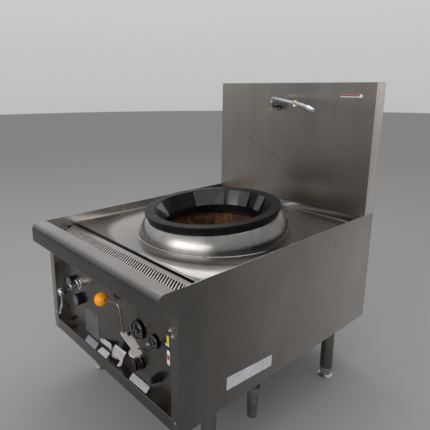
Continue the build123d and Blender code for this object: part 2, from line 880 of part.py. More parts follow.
def pilot_tube():
    """The small copper tube from the pilot cock to the pilot burner."""
    start_y = manifold_y - cock_outlet_setback
    points = [
        (gas_knob_x, start_y, gas_knob_z + cock_outlet_rise), (gas_knob_x, start_y, pilot_tube_z),
        (gas_knob_x, pilot_tube_turn_y, pilot_tube_z), (pilot_x, pilot_tube_back_y, pilot_tube_z),
        (pilot_x, ring_y, pilot_tube_z), (pilot_x, ring_y, burner_z - chamber_wall),
    ]
    bends = [pilot_tube_bend, pilot_tube_bend, pilot_tube_sweep, pilot_tube_sweep]
    return pipe(points, pilot_tube_radius, bends)


# ---- lever valve ----
def lever_valve():
    """The main gas valve: a stub through the panel that turns up under the swing lever."""
    z = arm_z - lever_stub_drop
    stub = rod_along_y(pivot_x, z, lever_stub_radius, pivot_y, manifold_y)
    head_foot = arm_z - fit_gap - lever_head_height
    head = post(pivot_x, pivot_y, lever_head_radius, head_foot, arm_z - fit_gap)
    pin = post(pivot_x, pivot_y, lever_pin_radius, arm_z - cut_past, arm_z + arm_sheet + lever_pin_rise)
    riser = post(pivot_x, manifold_y, 1.5 * lever_stub_radius, manifold_z, z + lever_stub_radius)
    riser = coped(riser, manifold_y, manifold_z, gas_pipe_radius)
    nut = hexagon_along_y(pivot_x, z, 3 * lever_stub_radius, panel_back, panel_back + lever_nut_length)
    return stub + head + pin + riser + nut


def lever_arm():
    """The sheet arm of the swing lever, with its round lobe and a stiffening lip."""
    toe = (rod_x - lever_toe, rod_y - rod_inset_x)
    waist = (lobe_x - lever_heel, pivot_y - lever_pin_radius * 2)
    points = [
        toe, (rod_foot_x + rod_nut - rod_inset_y, rod_y + rod_nut),
        (rod_x + lever_back_far, rod_y + lever_toe), (pivot_x + lever_heel, pivot_y + cut_past),
        (pivot_x + lever_heel, pivot_y - lever_heel_depth), (lobe_x, lobe_y - rod_inset_x), waist,
    ]
    outline = make_face(Polyline(*points, close=True)) + Pos(lobe_x, lobe_y) * Circle(lobe_radius)
    plate = extrude(Pos(0, 0, arm_z) * outline, amount=arm_sheet)
    edge_start = Vector(*toe, arm_z - arm_lip)
    edge_end = Vector(*waist, arm_z - arm_lip)
    along = (edge_end - edge_start).normalized()
    inward = Vector(-along.Y, along.X, 0)
    lip_face = Polyline(edge_start, edge_end, edge_end + inward * sheet, edge_start + inward * sheet,
                        close=True)
    plate += extrude(make_face(lip_face), amount=arm_lip + sheet / 2, dir=(0, 0, 1))
    low = arm_z - cut_past
    high = arm_z + 2 * arm_sheet
    plate -= post(pivot_x, pivot_y, lever_pin_radius + running_clearance, low, high)
    return plate - post(rod_foot_x, rod_foot_y, rod_radius + running_clearance, low, high)


def lever_rod():
    """The bent rod that carries the ball, bolted up through the arm, with its two nuts."""
    foot = (rod_foot_x, rod_foot_y, arm_z - rod_tail)
    straight = (rod_foot_x, rod_foot_y, arm_z + rod_straight)
    top = (rod_x - rod_inset_x, ball_y, rod_top)
    reach = Vector(ball_x, ball_y, ball_z) - Vector(*top)
    end = Vector(ball_x, ball_y, ball_z) - reach.normalized() * (ball_radius - ball_bore)
    rod = pipe([foot, straight, top, tuple(end)], rod_radius, [rod_foot_bend, rod_bend])
    nut = extrude(RegularPolygon(rod_nut / 2, 6, major_radius=False), amount=rod_nut_height)
    for z in (arm_z - rod_nut_height, arm_z + arm_sheet):
        rod += Pos(rod_foot_x, rod_foot_y, z) * nut
    return rod


def lever_ball():
    """The ball grip, bored for the rod's end."""
    top = Vector(rod_x - rod_inset_x, ball_y, rod_top)
    centre = Vector(ball_x, ball_y, ball_z)
    reach = centre - top
    start = centre - reach.normalized() * (ball_radius - ball_bore)
    bore_plane = Plane(origin=start, z_dir=-reach.normalized())
    bore = extrude(bore_plane * Circle(rod_radius), amount=ball_radius)
    return Pos(*centre) * Sphere(ball_radius) - bore


# ---- knobs, wheels and the igniter ----
def knob(x, z, radius, front, skirt, dome):
    """A round black knob: skirt, tapered grip, eased face and a blind bore for its spindle."""
    back = panel_setback - knob_clearance
    depth = back - front
    section = make_face(
        FilletPolyline(
            (0, 0), (radius, 0), (radius, skirt), (radius - knob_taper, skirt + knob_taper),
            (radius - 2 * knob_taper, depth), (0, depth),
            radius=[0, 0, 0, dome],
        ).edges() + [Line((0, depth), (0, 0)).edge()]
    )
    body = Plane(origin=(x, back, z), z_dir=(0, -1, 0)) * revolve(Plane.XZ * section, Axis.Z)
    bore_end = back - depth * knob_bore_share
    return body - rod_along_y(x, z, cock_spindle_radius + running_clearance, bore_end, back + cut_past)


def plain_knob(x, z, front):
    """A domed knob of the two water cocks beside the tap."""
    return knob(x, z, plain_knob_radius, front, plain_knob_reach / 4, plain_knob_dome)


def gas_knob():
    """The gas knob: a round knob with a raised finger bar across its face."""
    face = gas_knob_front + gas_knob_bar_rise
    body = knob(gas_knob_x, gas_knob_z, gas_knob_radius, face, gas_knob_skirt, knob_face_edge)
    span = gas_knob_radius - gas_knob_skirt
    bar = block(
        (gas_knob_x - gas_knob_bar / 2, gas_knob_front, gas_knob_z - span),
        (gas_knob_x + gas_knob_bar / 2, face + knob_face_edge, gas_knob_z + span),
    )
    return body + bar


def knob_valve(x, z, front, body_radius, body_back):
    """What stands behind a knob: a fixed body and a spindle that ends inside the knob."""
    back = panel_setback - knob_clearance
    depth = back - front
    tip = back - depth * knob_bore_share + knob_clearance
    spindle = rod_along_y(x, z, cock_spindle_radius, tip, panel_back)
    body = rod_along_y(x, z, body_radius, panel_back, body_back)
    return spindle + body


def plain_knob_valves():
    """The two small water cocks behind the plain knobs."""
    places = [(upper_knob_x, upper_knob_z, plain_knob_front), (lower_knob_x, lower_knob_z, plain_knob_front)]
    return Compound(children=[
        knob_valve(x, z, front, 2 * spindle_radius, panel_back + valve_body_back) for x, z, front in places
    ])


def gas_cock():
    """The pilot cock behind the gas knob, standing on the manifold."""
    face = gas_knob_front + gas_knob_bar_rise
    cock = knob_valve(gas_knob_x, gas_knob_z, face, cock_radius, manifold_y + cock_back)
    outlet_y = manifold_y - cock_outlet_setback
    riser = post(gas_knob_x, outlet_y, cock_outlet_radius, gas_knob_z, gas_knob_z + cock_outlet_rise)
    saddle = post(gas_knob_x, manifold_y, cock_saddle_radius, manifold_z, gas_knob_z)
    return coped(cock + riser + saddle, manifold_y, manifold_z, gas_pipe_radius)


def igniter_body():
    """The igniter's barrel through the panel, with a bezel before it and a nut behind."""
    mouth = igniter_front + igniter_travel + igniter_mouth
    well_back = igniter_front + igniter_button_length + igniter_travel + igniter_mouth
    barrel = rod_along_y(igniter_x, igniter_z, igniter_radius, mouth, panel_back + igniter_back)
    bezel = rod_along_y(igniter_x, igniter_z, igniter_bezel_radius, panel_setback - igniter_bezel,
                        panel_setback)
    nut = hexagon_along_y(igniter_x, igniter_z, igniter_hex, panel_back, panel_back + igniter_hex_length)
    well_radius = igniter_button_radius + running_clearance
    return barrel + bezel + nut - rod_along_y(igniter_x, igniter_z, well_radius, mouth - cut_past, well_back)


def igniter_button():
    """The push button in the igniter's barrel."""
    button = rod_along_y(igniter_x, igniter_z, igniter_button_radius, igniter_front,
                         igniter_front + igniter_button_length)
    return fillet(button.edges().sort_by(Axis.Y)[0], igniter_button_edge)


def handwheel(x, z, radius, reach):
    """A dished handwheel: web, rolled rim and hub on a long spindle with a cap at its end."""
    plane = Plane(origin=(x, panel_setback - wheel_gap, z), z_dir=(0, -1, 0))
    wheel = turned(
        [
            (0, 0), (radius - wheel_lip, 0), (radius, wheel_lip), (radius, wheel_thickness - wheel_edge),
            (radius - wheel_edge, wheel_thickness), (radius - wheel_lip, wheel_thickness - wheel_edge),
            (radius - wheel_lip - wheel_edge, wheel_web + wheel_edge),
            (radius - 2 * wheel_lip, wheel_web), (wheel_hub_radius + wheel_edge, wheel_web),
            (wheel_hub_radius, wheel_web + wheel_edge), (wheel_hub_radius - wheel_edge, wheel_thickness),
            (0, wheel_thickness),
        ],
        plane,
    )
    tip = panel_setback - reach
    spindle = rod_along_y(x, z, spindle_radius, tip + wheel_edge, panel_back + valve_spindle_back)
    cap = rod_along_y(x, z, wheel_cap_radius, tip, tip + wheel_cap_length)
    cap = fillet(cap.edges().sort_by(Axis.Y)[0], wheel_edge)
    return wheel + spindle + cap


def water_valve(x, z):
    """A globe valve behind the panel: bonnet round the spindle, nut and body down to the header."""
    bonnet_back = panel_back + valve_body_back
    bonnet = rod_along_y(x, z, 2 * spindle_radius, panel_setback - wheel_gap / 2, bonnet_back)
    nut = hexagon_along_y(x, z, valve_hex, panel_back, panel_back + valve_hex_length)
    body = rod_along_y(x, z, valve_body_radius, bonnet_back - fold_radius, header_y + valve_overrun)
    riser = post(x, header_y, valve_riser_radius, z, header_z)
    riser = coped(riser, header_y, header_z, water_pipe_radius)
    bore_back = panel_back + valve_spindle_back + cut_past
    bore_radius = spindle_radius + running_clearance
    return bonnet + nut + body + riser - rod_along_y(x, z, bore_radius, panel_setback - wheel_gap, bore_back)


# ---- bib tap ----
def tap_body():
    """The chrome tap: hexagon flange, sleeve, neck and a round bonnet slotted for its lever."""
    flange = hexagon_along_y(tap_x, tap_z, tap_flange, panel_setback - tap_flange_thickness, panel_setback)
    union_front = panel_setback - 2 * tap_flange_thickness
    union = hexagon_along_y(tap_x, tap_z, 3 * tap_sleeve_radius, union_front, panel_setback)
    sleeve = rod_along_y(tap_x, tap_z, tap_sleeve_radius, union_front - tap_sleeve_length, union_front)
    bonnet_back = tap_front + tap_bonnet_length
    barrel = rod_along_y(tap_x, tap_z, tap_radius, bonnet_back - tap_edge, panel_back + tap_tail)
    bonnet = turned(
        [(0, 0), (tap_bonnet_radius, 0), (tap_bonnet_radius, tap_bonnet_length - tap_edge - cut_past),
         (tap_bonnet_radius - tap_edge, tap_bonnet_length - cut_past), (0, tap_bonnet_length)],
        Plane(origin=(tap_x, bonnet_back, tap_z), z_dir=(0, -1, 0)),
    )
    slot = block((tap_x - tap_slot_width / 2, tap_front + cut_past, tap_z - tap_slot_depth),
                 (tap_x + tap_slot_width / 2, bonnet_back - 2 * cut_past, tap_z - tap_slot_top))
    nut = hexagon_along_y(tap_x, tap_z, 3 * tap_radius, panel_back, panel_back + tap_nut_length)
    return flange + union + sleeve + barrel + bonnet + nut - slot


def tap_ring():
    """The black ring between the tap's neck and bonnet."""
    plane = Plane(origin=(tap_x, tap_front + tap_bonnet_length + tap_ring_length, tap_z), z_dir=(0, -1, 0))
    bore = tap_radius + running_clearance
    outer = tap_ring_radius
    ease = tap_ring_edge
    return turned(
        [(bore, 0), (outer - ease, 0), (outer, ease), (outer, tap_ring_length - ease),
         (outer - ease, tap_ring_length), (bore, tap_ring_length)],
        plane,
    )


def tap_lever():
    """The bent lever that hangs from the tap's bonnet."""
    top_y = tap_front + tap_lever_set_back
    top = (tap_x, top_y, tap_z - tap_lever_pin_drop)
    knee = (tap_x, top_y + tap_lever_lean, tap_z - tap_lever_knee)
    tip = (tap_x, tap_front - tap_ring_edge, tap_z - tap_lever_length)
    path = FilletPolyline(top, knee, tip, radius=tap_lever_bend)
    plane = Plane(origin=top, z_dir=Vector(*knee) - Vector(*top), x_dir=(1, 0, 0))
    return sweep(plane * Rectangle(tap_lever_width, tap_lever_thickness), path=path.wire())


# ---- water pipes ----
def water_header():
    """The water pipe: inlet under the cabinet, along the left side and across behind the panel."""
    turn_y = header_y + header_turn
    points = [
        (water_inlet_x, water_inlet_y, -water_inlet_drop), (water_inlet_x, water_inlet_y, header_low_z),
        (header_x, water_inlet_y, header_low_z), (header_x, turn_y, header_low_z),
        (header_x, turn_y, header_z), (header_x, header_y, header_z),
        (wheel_2_x + header_overrun, header_y, header_z),
    ]
    return pipe(points, water_pipe_radius, [header_bend] * (len(points) - 2))


def tap_feed():
    """The short drop from the header to the tap."""
    points = [(tap_x, header_y, header_z), (tap_x, header_y, tap_z), (tap_x, panel_back + tap_tail, tap_z)]
    feed = pipe(points, tap_pipe_radius, [tap_pipe_bend])
    return coped(feed, header_y, header_z, water_pipe_radius)


def faucet_feed():
    """The pipe from the large valve back along the side, up the splashback and out at the faucet."""
    side = half_width - faucet_pipe_side_gap
    turn_y = header_y + faucet_pipe_turn
    rise_y = splash_front + splashback_depth / 2
    points = [
        (wheel_1_x, header_y + valve_overrun, wheel_1_z), (wheel_1_x, turn_y, wheel_1_z),
        (side, turn_y, wheel_1_z), (side, rise_y, wheel_1_z), (side, rise_y, faucet_outlet_z),
        (faucet_x, rise_y, faucet_outlet_z), (faucet_x, splash_front - cut_past, faucet_outlet_z),
    ]
    bends = [
        faucet_pipe_bend, faucet_pipe_wide_bend, faucet_pipe_bend, faucet_pipe_wide_bend, tap_pipe_bend,
    ]
    return pipe(points, faucet_pipe_radius, bends)


# ---- faucet ----
def faucet_post():
    """The faucet's wall flange, its stub and the upright socket that the arm turns in."""
    flange_front = splash_front - faucet_flange_thickness
    flange = rod_along_y(faucet_x, faucet_outlet_z, faucet_flange_radius, flange_front, splash_front)
    stub = rod_along_y(faucet_x, faucet_outlet_z, faucet_stub_radius, faucet_y, splash_front)
    upright = post(faucet_x, faucet_y, faucet_post_radius, faucet_post_foot + faucet_cap_height,
                   faucet_post_top)
    bore = post(faucet_x, faucet_y, faucet_tube_radius + running_clearance, faucet_outlet_z + cut_past,
                faucet_post_top + cut_past)
    feed = rod_along_y(faucet_x, faucet_outlet_z, faucet_pipe_radius + fit_gap, splash_front - 2 * cut_past,
                       splash_front + cut_past)
    return flange + stub + upright - bore - feed


def faucet_cap():
    """The brass nut that closes the socket's foot."""
    plane = Plane(origin=(faucet_x, faucet_y, faucet_post_foot))
    section = plane * RegularPolygon(faucet_cap_hex / 2, 6, major_radius=False)
    return extrude(section, amount=faucet_cap_height)


def faucet_arm_1():
    """The first arm: up out of the socket, over a bend and out to the lower half of the joint."""
    foot = (faucet_x, faucet_y, faucet_outlet_z + 2 * cut_past)
    top = (faucet_x, faucet_y, faucet_arm_z)
    level = joint_z - joint_half / 2
    away = Vector(joint_x - faucet_x, joint_y - faucet_y, level - faucet_arm_z)
    end = Vector(joint_x, joint_y, level) - away.normalized() * (joint_radius - joint_inset)
    tube = pipe([foot, top, tuple(end)], faucet_tube_radius, [faucet_bend])
    boss = post(joint_x, joint_y, joint_radius, joint_z - joint_half, joint_z)
    pin = post(joint_x, joint_y, joint_pin_radius, joint_z, joint_z + joint_half)
    return tube + boss + pin


def faucet_arm_2():
    """The second arm: a sleeve that turns on the joint's pin, and a tube with a slight bend at its end."""
    sleeve = post(joint_x, joint_y, joint_radius, joint_z + fit_gap, joint_z + joint_half + joint_cap)
    level = joint_z + (joint_half + joint_cap) / 2
    away = Vector(nozzle_x - joint_x, nozzle_y - joint_y, nozzle_z - level).normalized()
    start = Vector(joint_x, joint_y, level) + away * (joint_radius - joint_inset)
    points = [tuple(start), (nozzle_x, nozzle_y, nozzle_z), nozzle_start()]
    tube = pipe(points, nozzle_tube_radius, [nozzle_bend])
    bore_top = joint_z + joint_half + fit_gap
    return sleeve + tube - post(joint_x, joint_y, joint_pin_radius + running_clearance, joint_z, bore_top)


def nozzle_start():
    """Where the bent tube ends and the nozzle begins."""
    bend = Vector(nozzle_x, nozzle_y, nozzle_z)
    tip = Vector(nozzle_tip_x, nozzle_tip_y, nozzle_tip_z)
    return tuple(bend + (tip - bend).normalized() * nozzle_lead)


def faucet_nozzle():
    """The chrome nozzle at the arm's end, turned down a little, open at its tip."""
    start = Vector(*nozzle_start())
    away = Vector(nozzle_tip_x, nozzle_tip_y, nozzle_tip_z) - start
    length = away.length
    return turned(
        [(0, 0), (nozzle_radius, 0), (nozzle_radius, length / 2),
         (nozzle_radius - nozzle_step, length / 2 + nozzle_step), (nozzle_radius - nozzle_step, length),
         (nozzle_radius - 2 * nozzle_step, length), (nozzle_radius - 2 * nozzle_step, length / 2),
         (0, length / 2)],
        Plane(origin=start, z_dir=away),
    )


# ---- legs ----
leg_places = {
    "front_left": (-half_width + leg_inset_side, leg_inset_end),
    "front_right": (half_width - leg_inset_side, leg_inset_end),
    "rear_left": (-half_width + leg_inset_side, cabinet_depth - leg_inset_end),
    "rear_right": (half_width - leg_inset_side, cabinet_depth - leg_inset_end),
}


def leg(x, y):
    """A tube leg with a threaded plug at its foot."""
    foot = -leg_height + foot_rise
    tube = post(x, y, leg_radius, foot, -socket_plate)
    tube -= post(x, y, leg_radius - leg_wall, foot + leg_plug, 0)
    plug_top = foot + leg_plug + cut_past
    return tube - post(x, y, foot_stem_radius + running_clearance, foot - cut_past, plug_top)


def foot(x, y):
    """An adjustable foot: flange on the floor, round body and a stem up into the leg."""
    rise = foot_rise - fit_gap
    top = rise - leg_height
    body = turned(
        [(0, 0), (foot_flange_radius, 0), (foot_flange_radius, foot_flange - foot_edge),
         (foot_flange_radius - foot_slope, foot_flange),
         (foot_radius - foot_waist, foot_flange + foot_slope), (foot_radius, rise - foot_shoulder),
         (foot_radius, rise), (0, rise)],
        Plane(origin=(x, y, -leg_height)),
    )
    return body + post(x, y, foot_stem_radius, top - cut_past, top + foot_stem_length)


def leg_sockets():
    """The four plates and bushes that carry the legs under the cabinet."""
    sockets = []
    for x, y in leg_places.values():
        plate = block((x - socket_size / 2, y - socket_size / 2, -socket_plate),
                      (x + socket_size / 2, y + socket_size / 2, 0))
        bush_foot = -socket_plate - socket_bush_depth
        bush = post(x, y, leg_radius - leg_wall - fit_gap, bush_foot, -socket_plate)
        bush -= post(x, y, socket_bush_bore, bush_foot - cut_past, -socket_plate)
        sockets.append(plate + bush)
    return Compound(children=sockets)


# ---- every node ----
nodes = {
    "left_side_panel": side_panel(-1),
    "right_side_panel": side_panel(1),
    "front_rail": front_rail(),
    "control_panel": control_panel(),
    "front_apron": apron(),
    "base_pan": base_pan(),
    "rear_panel": rear_panel(),
    "worktop": worktop(),
    "splashback_shell": splash_shell(),
    "splashback_cover": splash_cover(),
    "gutter_trough": gutter_trough(),
    "gutter_strainer": strainer(),
    "drain_spigot": drain_spigot(),
    "spun_collar": collar(),
    "wok_ring": wok_ring(),
    "fire_chamber": fire_chamber(),
    "heat_shield": heat_shield(),
    "burner_head": burner_head(),
    "mixer_tube": mixer_tube(),
    "gas_injector": injector(),
    "pilot_burner": pilot_burner(),
    "gas_inlet": gas_inlet(),
    "gas_manifold": gas_manifold(),
    "burner_feed_pipe": burner_feed(),
    "pilot_tube": pilot_tube(),
    "lever_valve": lever_valve(),
    "lever_arm": lever_arm(),
    "lever_rod": lever_rod(),
    "lever_ball": lever_ball(),
    "gas_knob": gas_knob(),
    "gas_cock": gas_cock(),
    "igniter_body": igniter_body(),
    "igniter_button": igniter_button(),
    "handwheel_large": handwheel(wheel_1_x, wheel_1_z, wheel_1_radius, wheel_1_reach),
    "handwheel_small": handwheel(wheel_2_x, wheel_2_z, wheel_2_radius, wheel_2_reach),
    "water_valve_large": water_valve(wheel_1_x, wheel_1_z),
    "water_valve_small": water_valve(wheel_2_x, wheel_2_z),
    "upper_knob": plain_knob(upper_knob_x, upper_knob_z, plain_knob_front),
    "lower_knob": plain_knob(lower_knob_x, lower_knob_z, plain_knob_front),
    "knob_valves": plain_knob_valves(),
    "tap_body": tap_body(),
    "tap_ring": tap_ring(),
    "tap_lever": tap_lever(),
    "water_header": water_header(),
    "tap_feed_pipe": tap_feed(),
    "faucet_feed_pipe": faucet_feed(),
    "faucet_post": faucet_post(),
    "faucet_cap_nut": faucet_cap(),
    "faucet_arm_1": faucet_arm_1(),
    "faucet_arm_2": faucet_arm_2(),
    "faucet_nozzle": faucet_nozzle(),
    "leg_sockets": leg_sockets(),
}
for place, (x, y) in leg_places.items():
    nodes["leg_" + place] = leg(x, y)
    nodes["foot_" + place] = foot(x, y)

to_floor_frame = Location((0, cabinet_front, leg_height))
os.makedirs("parts", exist_ok=True)
for name, shape in nodes.items():
    solids = [solid.moved(to_floor_frame) for solid in shape.solids()]
    export_step(solids[0] if len(solids) == 1 else Compound(children=solids), f"parts/{name}.step")
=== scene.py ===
import math

import bmesh
import bpy
from mathutils import Matrix, Vector


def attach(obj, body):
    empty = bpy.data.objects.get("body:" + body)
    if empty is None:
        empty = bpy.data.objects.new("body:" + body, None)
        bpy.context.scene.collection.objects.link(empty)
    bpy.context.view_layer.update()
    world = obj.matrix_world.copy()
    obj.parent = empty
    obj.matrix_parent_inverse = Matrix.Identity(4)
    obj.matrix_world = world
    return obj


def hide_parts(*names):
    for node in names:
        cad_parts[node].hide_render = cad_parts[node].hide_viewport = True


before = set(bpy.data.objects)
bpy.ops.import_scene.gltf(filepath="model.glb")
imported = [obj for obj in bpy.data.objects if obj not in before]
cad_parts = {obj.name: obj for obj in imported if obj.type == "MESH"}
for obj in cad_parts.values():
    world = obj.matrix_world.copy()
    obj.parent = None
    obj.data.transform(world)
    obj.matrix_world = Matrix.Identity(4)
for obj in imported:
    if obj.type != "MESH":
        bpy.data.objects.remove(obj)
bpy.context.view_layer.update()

# A single-burner wok range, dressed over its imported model.
# Sizes here are millimetres from the middle of the cabinet's front lower edge: x to the cook's
# right, y back from the cabinet face, z up from the underside. `at` takes them to the floor frame.
CABINET_FRONT = -370.0  # the cabinet face, in the floor frame
LEG_HEIGHT = 185.0
HALF_WIDTH = 300.0
SKIN = 1.5  # sheet of the side skins and the strainer
PANEL_Y = 28.0  # face of the control panel
LEDGE_Z = 33.0  # top of the ledge under the panel
RIM_Z = 347.0  # top edges of the side skins
DECK_Z = 318.0  # flat part of the worktop
SPLASH_Y = 737.0  # face of the splashback
BACK_Y = 788.0
RING_CENTRE = (0.0, 388.0, 384.0)
RING_LEAN = (-0.029596, -0.067987, 0.997247)  # axis of the ring and the collar
UP, TO_FRONT, TO_BACK, TO_RIGHT = (0, 0, 1), (0, -1, 0), (0, 1, 0), (1, 0, 0)
SHARP_ANGLE = math.radians(32.0)


def at(x, y, z):
    """A point of the drawing in the floor frame, in metres."""
    return Vector((x, y + CABINET_FRONT, z + LEG_HEIGHT)) / 1000.0


def mm(value):
    return value / 1000.0


TOUCHING = mm(0.01)


# ---- finishes ----
def new_finish(name, color, roughness, metallic):
    """A named material with its shader set, and its node tree for a pattern."""
    finish = bpy.data.materials.new(name)
    finish.use_nodes = True
    shader = finish.node_tree.nodes["Principled BSDF"]
    shader.inputs["Base Color"].default_value = (*color, 1.0)
    shader.inputs["Roughness"].default_value = roughness
    shader.inputs["Metallic"].default_value = metallic
    return finish, finish.node_tree, shader


def mapped(tree, scale=(1.0, 1.0, 1.0), location=(0.0, 0.0, 0.0)):
    """Object coordinates, scaled along each axis and moved."""
    where = tree.nodes.new("ShaderNodeTexCoord")
    mapping = tree.nodes.new("ShaderNodeMapping")
    mapping.inputs["Scale"].default_value = scale
    mapping.inputs["Location"].default_value = location
    tree.links.new(where.outputs["Object"], mapping.inputs["Vector"])
    return mapping.outputs["Vector"]


def noise(tree, vector, scale, detail=3.0, roughness=0.55, distortion=0.0):
    """A cloudy pattern over a vector."""
    texture = tree.nodes.new("ShaderNodeTexNoise")
    texture.inputs["Scale"].default_value = scale
    texture.inputs["Detail"].default_value = detail
    texture.inputs["Roughness"].default_value = roughness
    texture.inputs["Distortion"].default_value = distortion
    tree.links.new(vector, texture.inputs["Vector"])
    return texture.outputs["Fac"]


def ramp(tree, factor, stops):
    """A colour ramp over a 0 to 1 pattern: stops are (place, colour)."""
    node = tree.nodes.new("ShaderNodeValToRGB")
    elements = node.color_ramp.elements
    while len(elements) < len(stops):
        elements.new(0.5)
    for element, (place, color) in zip(elements, stops):
        element.position = place
        element.color = (*color, 1.0)
    tree.links.new(factor, node.inputs["Fac"])
    return node.outputs["Color"]


def spread(tree, factor, low, high, start=0.3, end=0.7):
    """A pattern stretched to run between two numbers."""
    node = tree.nodes.new("ShaderNodeMapRange")
    node.inputs["From Min"].default_value = start
    node.inputs["From Max"].default_value = end
    node.inputs["To Min"].default_value = low
    node.inputs["To Max"].default_value = high
    tree.links.new(factor, node.inputs["Value"])
    return node.outputs["Result"]


def tinted(tree, color, factor, amount):
    """A colour multiplied by a pattern, by a share from 0 to 1."""
    node = tree.nodes.new("ShaderNodeMix")
    node.data_type = "RGBA"
    node.blend_type = "MULTIPLY"
    node.inputs["Factor"].default_value = amount
    tree.links.new(color, node.inputs["A"])
    tree.links.new(factor, node.inputs["B"])
    return node.outputs["Result"]


def bumped(tree, shader, height, strength, distance):
    """Fine relief from a pattern; distance is in metres."""
    node = tree.nodes.new("ShaderNodeBump")
    node.inputs["Strength"].default_value = strength
    node.inputs["Distance"].default_value = distance
    tree.links.new(height, node.inputs["Height"])
    tree.links.new(node.outputs["Normal"], shader.inputs["Normal"])


def painted_gradient(tree, color, axis, start, end, low, high):
    """Painted light and shade: a colour that runs lighter or darker along one axis, between two places in
    metres.
    """
    split = tree.nodes.new("ShaderNodeSeparateXYZ")
    tree.links.new(mapped(tree), split.inputs[0])
    return tinted(tree, color, spread(tree, split.outputs[axis], low, high, start, end), 1.0)


def painted_facing_tone(tree, color, axis, side, painted_facing_gain):
    """Painted light and shade: a colour multiplied by a gain on the faces that look along one axis (side is
    1 or -1).
    """
    geometry = tree.nodes.new("ShaderNodeNewGeometry")
    split = tree.nodes.new("ShaderNodeSeparateXYZ")
    tree.links.new(geometry.outputs["Normal"], split.inputs[0])
    start, end = side * 0.35, side * 0.9
    return tinted(tree, color, spread(tree, split.outputs[axis], 1.0, painted_facing_gain, start, end), 1.0)


def brushed_steel(name, dark, light, roughness, grain, patch=4.0, grain_bump=0.06, painted_grade=None,
                  painted_facing_gain=None, scuff=0.35):
    """Sheet steel with a fine grain, soft patches of handling and small scuffs.

    grain holds the pattern's scale along x, y and z: small along the grain, large across it.
    grade is what `painted_gradient` takes after the colour, and gain what `painted_facing_tone` takes; both
    are painted light and shade, one along an axis and one on the faces that look one way."""
    finish, tree, shader = new_finish(name, light, roughness, 1.0)
    lines = noise(tree, mapped(tree, grain), 1.0, detail=2.0)
    patches = noise(tree, mapped(tree), patch, detail=4.0, distortion=0.6)
    scuffs = noise(tree, mapped(tree), 60.0, detail=6.0, roughness=0.7)
    color = ramp(tree, patches, [(0.3, dark), (0.7, light)])
    color = tinted(tree, color, spread(tree, lines, 0.72, 1.0), 0.55)
    color = tinted(tree, color, spread(tree, scuffs, 0.8, 1.0, 0.35, 0.55), scuff)
    # painted light and shade, laid over the steel's own colour
    if painted_grade:
        color = painted_gradient(tree, color, *painted_grade)
    if painted_facing_gain:
        color = painted_facing_tone(tree, color, *painted_facing_gain)
    tree.links.new(color, shader.inputs["Base Color"])
    worn = spread(tree, patches, roughness - 0.04, roughness + 0.05)
    tree.links.new(worn, shader.inputs["Roughness"])
    bumped(tree, shader, lines, strength=grain_bump, distance=0.0004)
    return finish


def spun_steel(name, dark, light, roughness, centre):
    """Steel finished on a lathe: fine rings round an axis, with painted shade that darkens it at its foot
    and to the right.
    """
    rings_per_metre = 900.0
    foot, shoulder = 0.495, 0.53
    middle, right = 0.04, 0.22
    finish, tree, shader = new_finish(name, light, roughness, 1.0)
    place = tree.nodes.new("ShaderNodeSeparateXYZ")
    tree.links.new(mapped(tree, location=tuple(-c for c in centre)), place.inputs[0])
    flat = tree.nodes.new("ShaderNodeCombineXYZ")
    tree.links.new(place.outputs["X"], flat.inputs["X"])
    tree.links.new(place.outputs["Y"], flat.inputs["Y"])
    radius = tree.nodes.new("ShaderNodeVectorMath")
    radius.operation = "LENGTH"
    tree.links.new(flat.outputs[0], radius.inputs[0])
    turned = tree.nodes.new("ShaderNodeCombineXYZ")
    tree.links.new(radius.outputs["Value"], turned.inputs["X"])
    tree.links.new(place.outputs["Z"], turned.inputs["Y"])
    scaled = tree.nodes.new("ShaderNodeVectorMath")
    scaled.operation = "SCALE"
    scaled.inputs["Scale"].default_value = rings_per_metre
    tree.links.new(turned.outputs[0], scaled.inputs[0])
    rings = noise(tree, scaled.outputs["Vector"], 1.0, detail=2.0)
    patches = noise(tree, mapped(tree), 9.0, detail=5.0, distortion=0.8)
    color = ramp(tree, patches, [(0.3, dark), (0.65, light)])
    color = tinted(tree, color, spread(tree, rings, 0.75, 1.0), 0.5)
    # painted shade and light: darker at the foot, a little lighter above the shoulder, then darker toward
    # the right
    color = painted_gradient(tree, color, "Z", foot, shoulder, 0.6, 1.1)
    color = painted_gradient(tree, color, "X", middle, right, 1.0, 0.5)
    tree.links.new(color, shader.inputs["Base Color"])
    worn = spread(tree, patches, roughness - 0.04, roughness + 0.1)
    tree.links.new(worn, shader.inputs["Roughness"])
    bumped(tree, shader, rings, strength=0.05, distance=0.0003)
    return finish


def cast_iron(name, dark, light, roughness):
    """Cast iron, or a dull coated sheet, with a fine sand texture and uneven patches."""
    finish, tree, shader = new_finish(name, dark, roughness, 0.0)
    sand = noise(tree, mapped(tree), 900.0, detail=4.0, roughness=0.7)
    patches = noise(tree, mapped(tree), 14.0, detail=6.0, distortion=1.0)
    color = ramp(tree, patches, [(0.35, dark), (0.75, light)])
    tree.links.new(color, shader.inputs["Base Color"])
    tree.links.new(spread(tree, patches, roughness - 0.08, roughness + 0.12), shader.inputs["Roughness"])
    shader.inputs["Specular IOR Level"].default_value = 0.18
    bumped(tree, shader, sand, strength=0.25, distance=0.0004)
    return finish


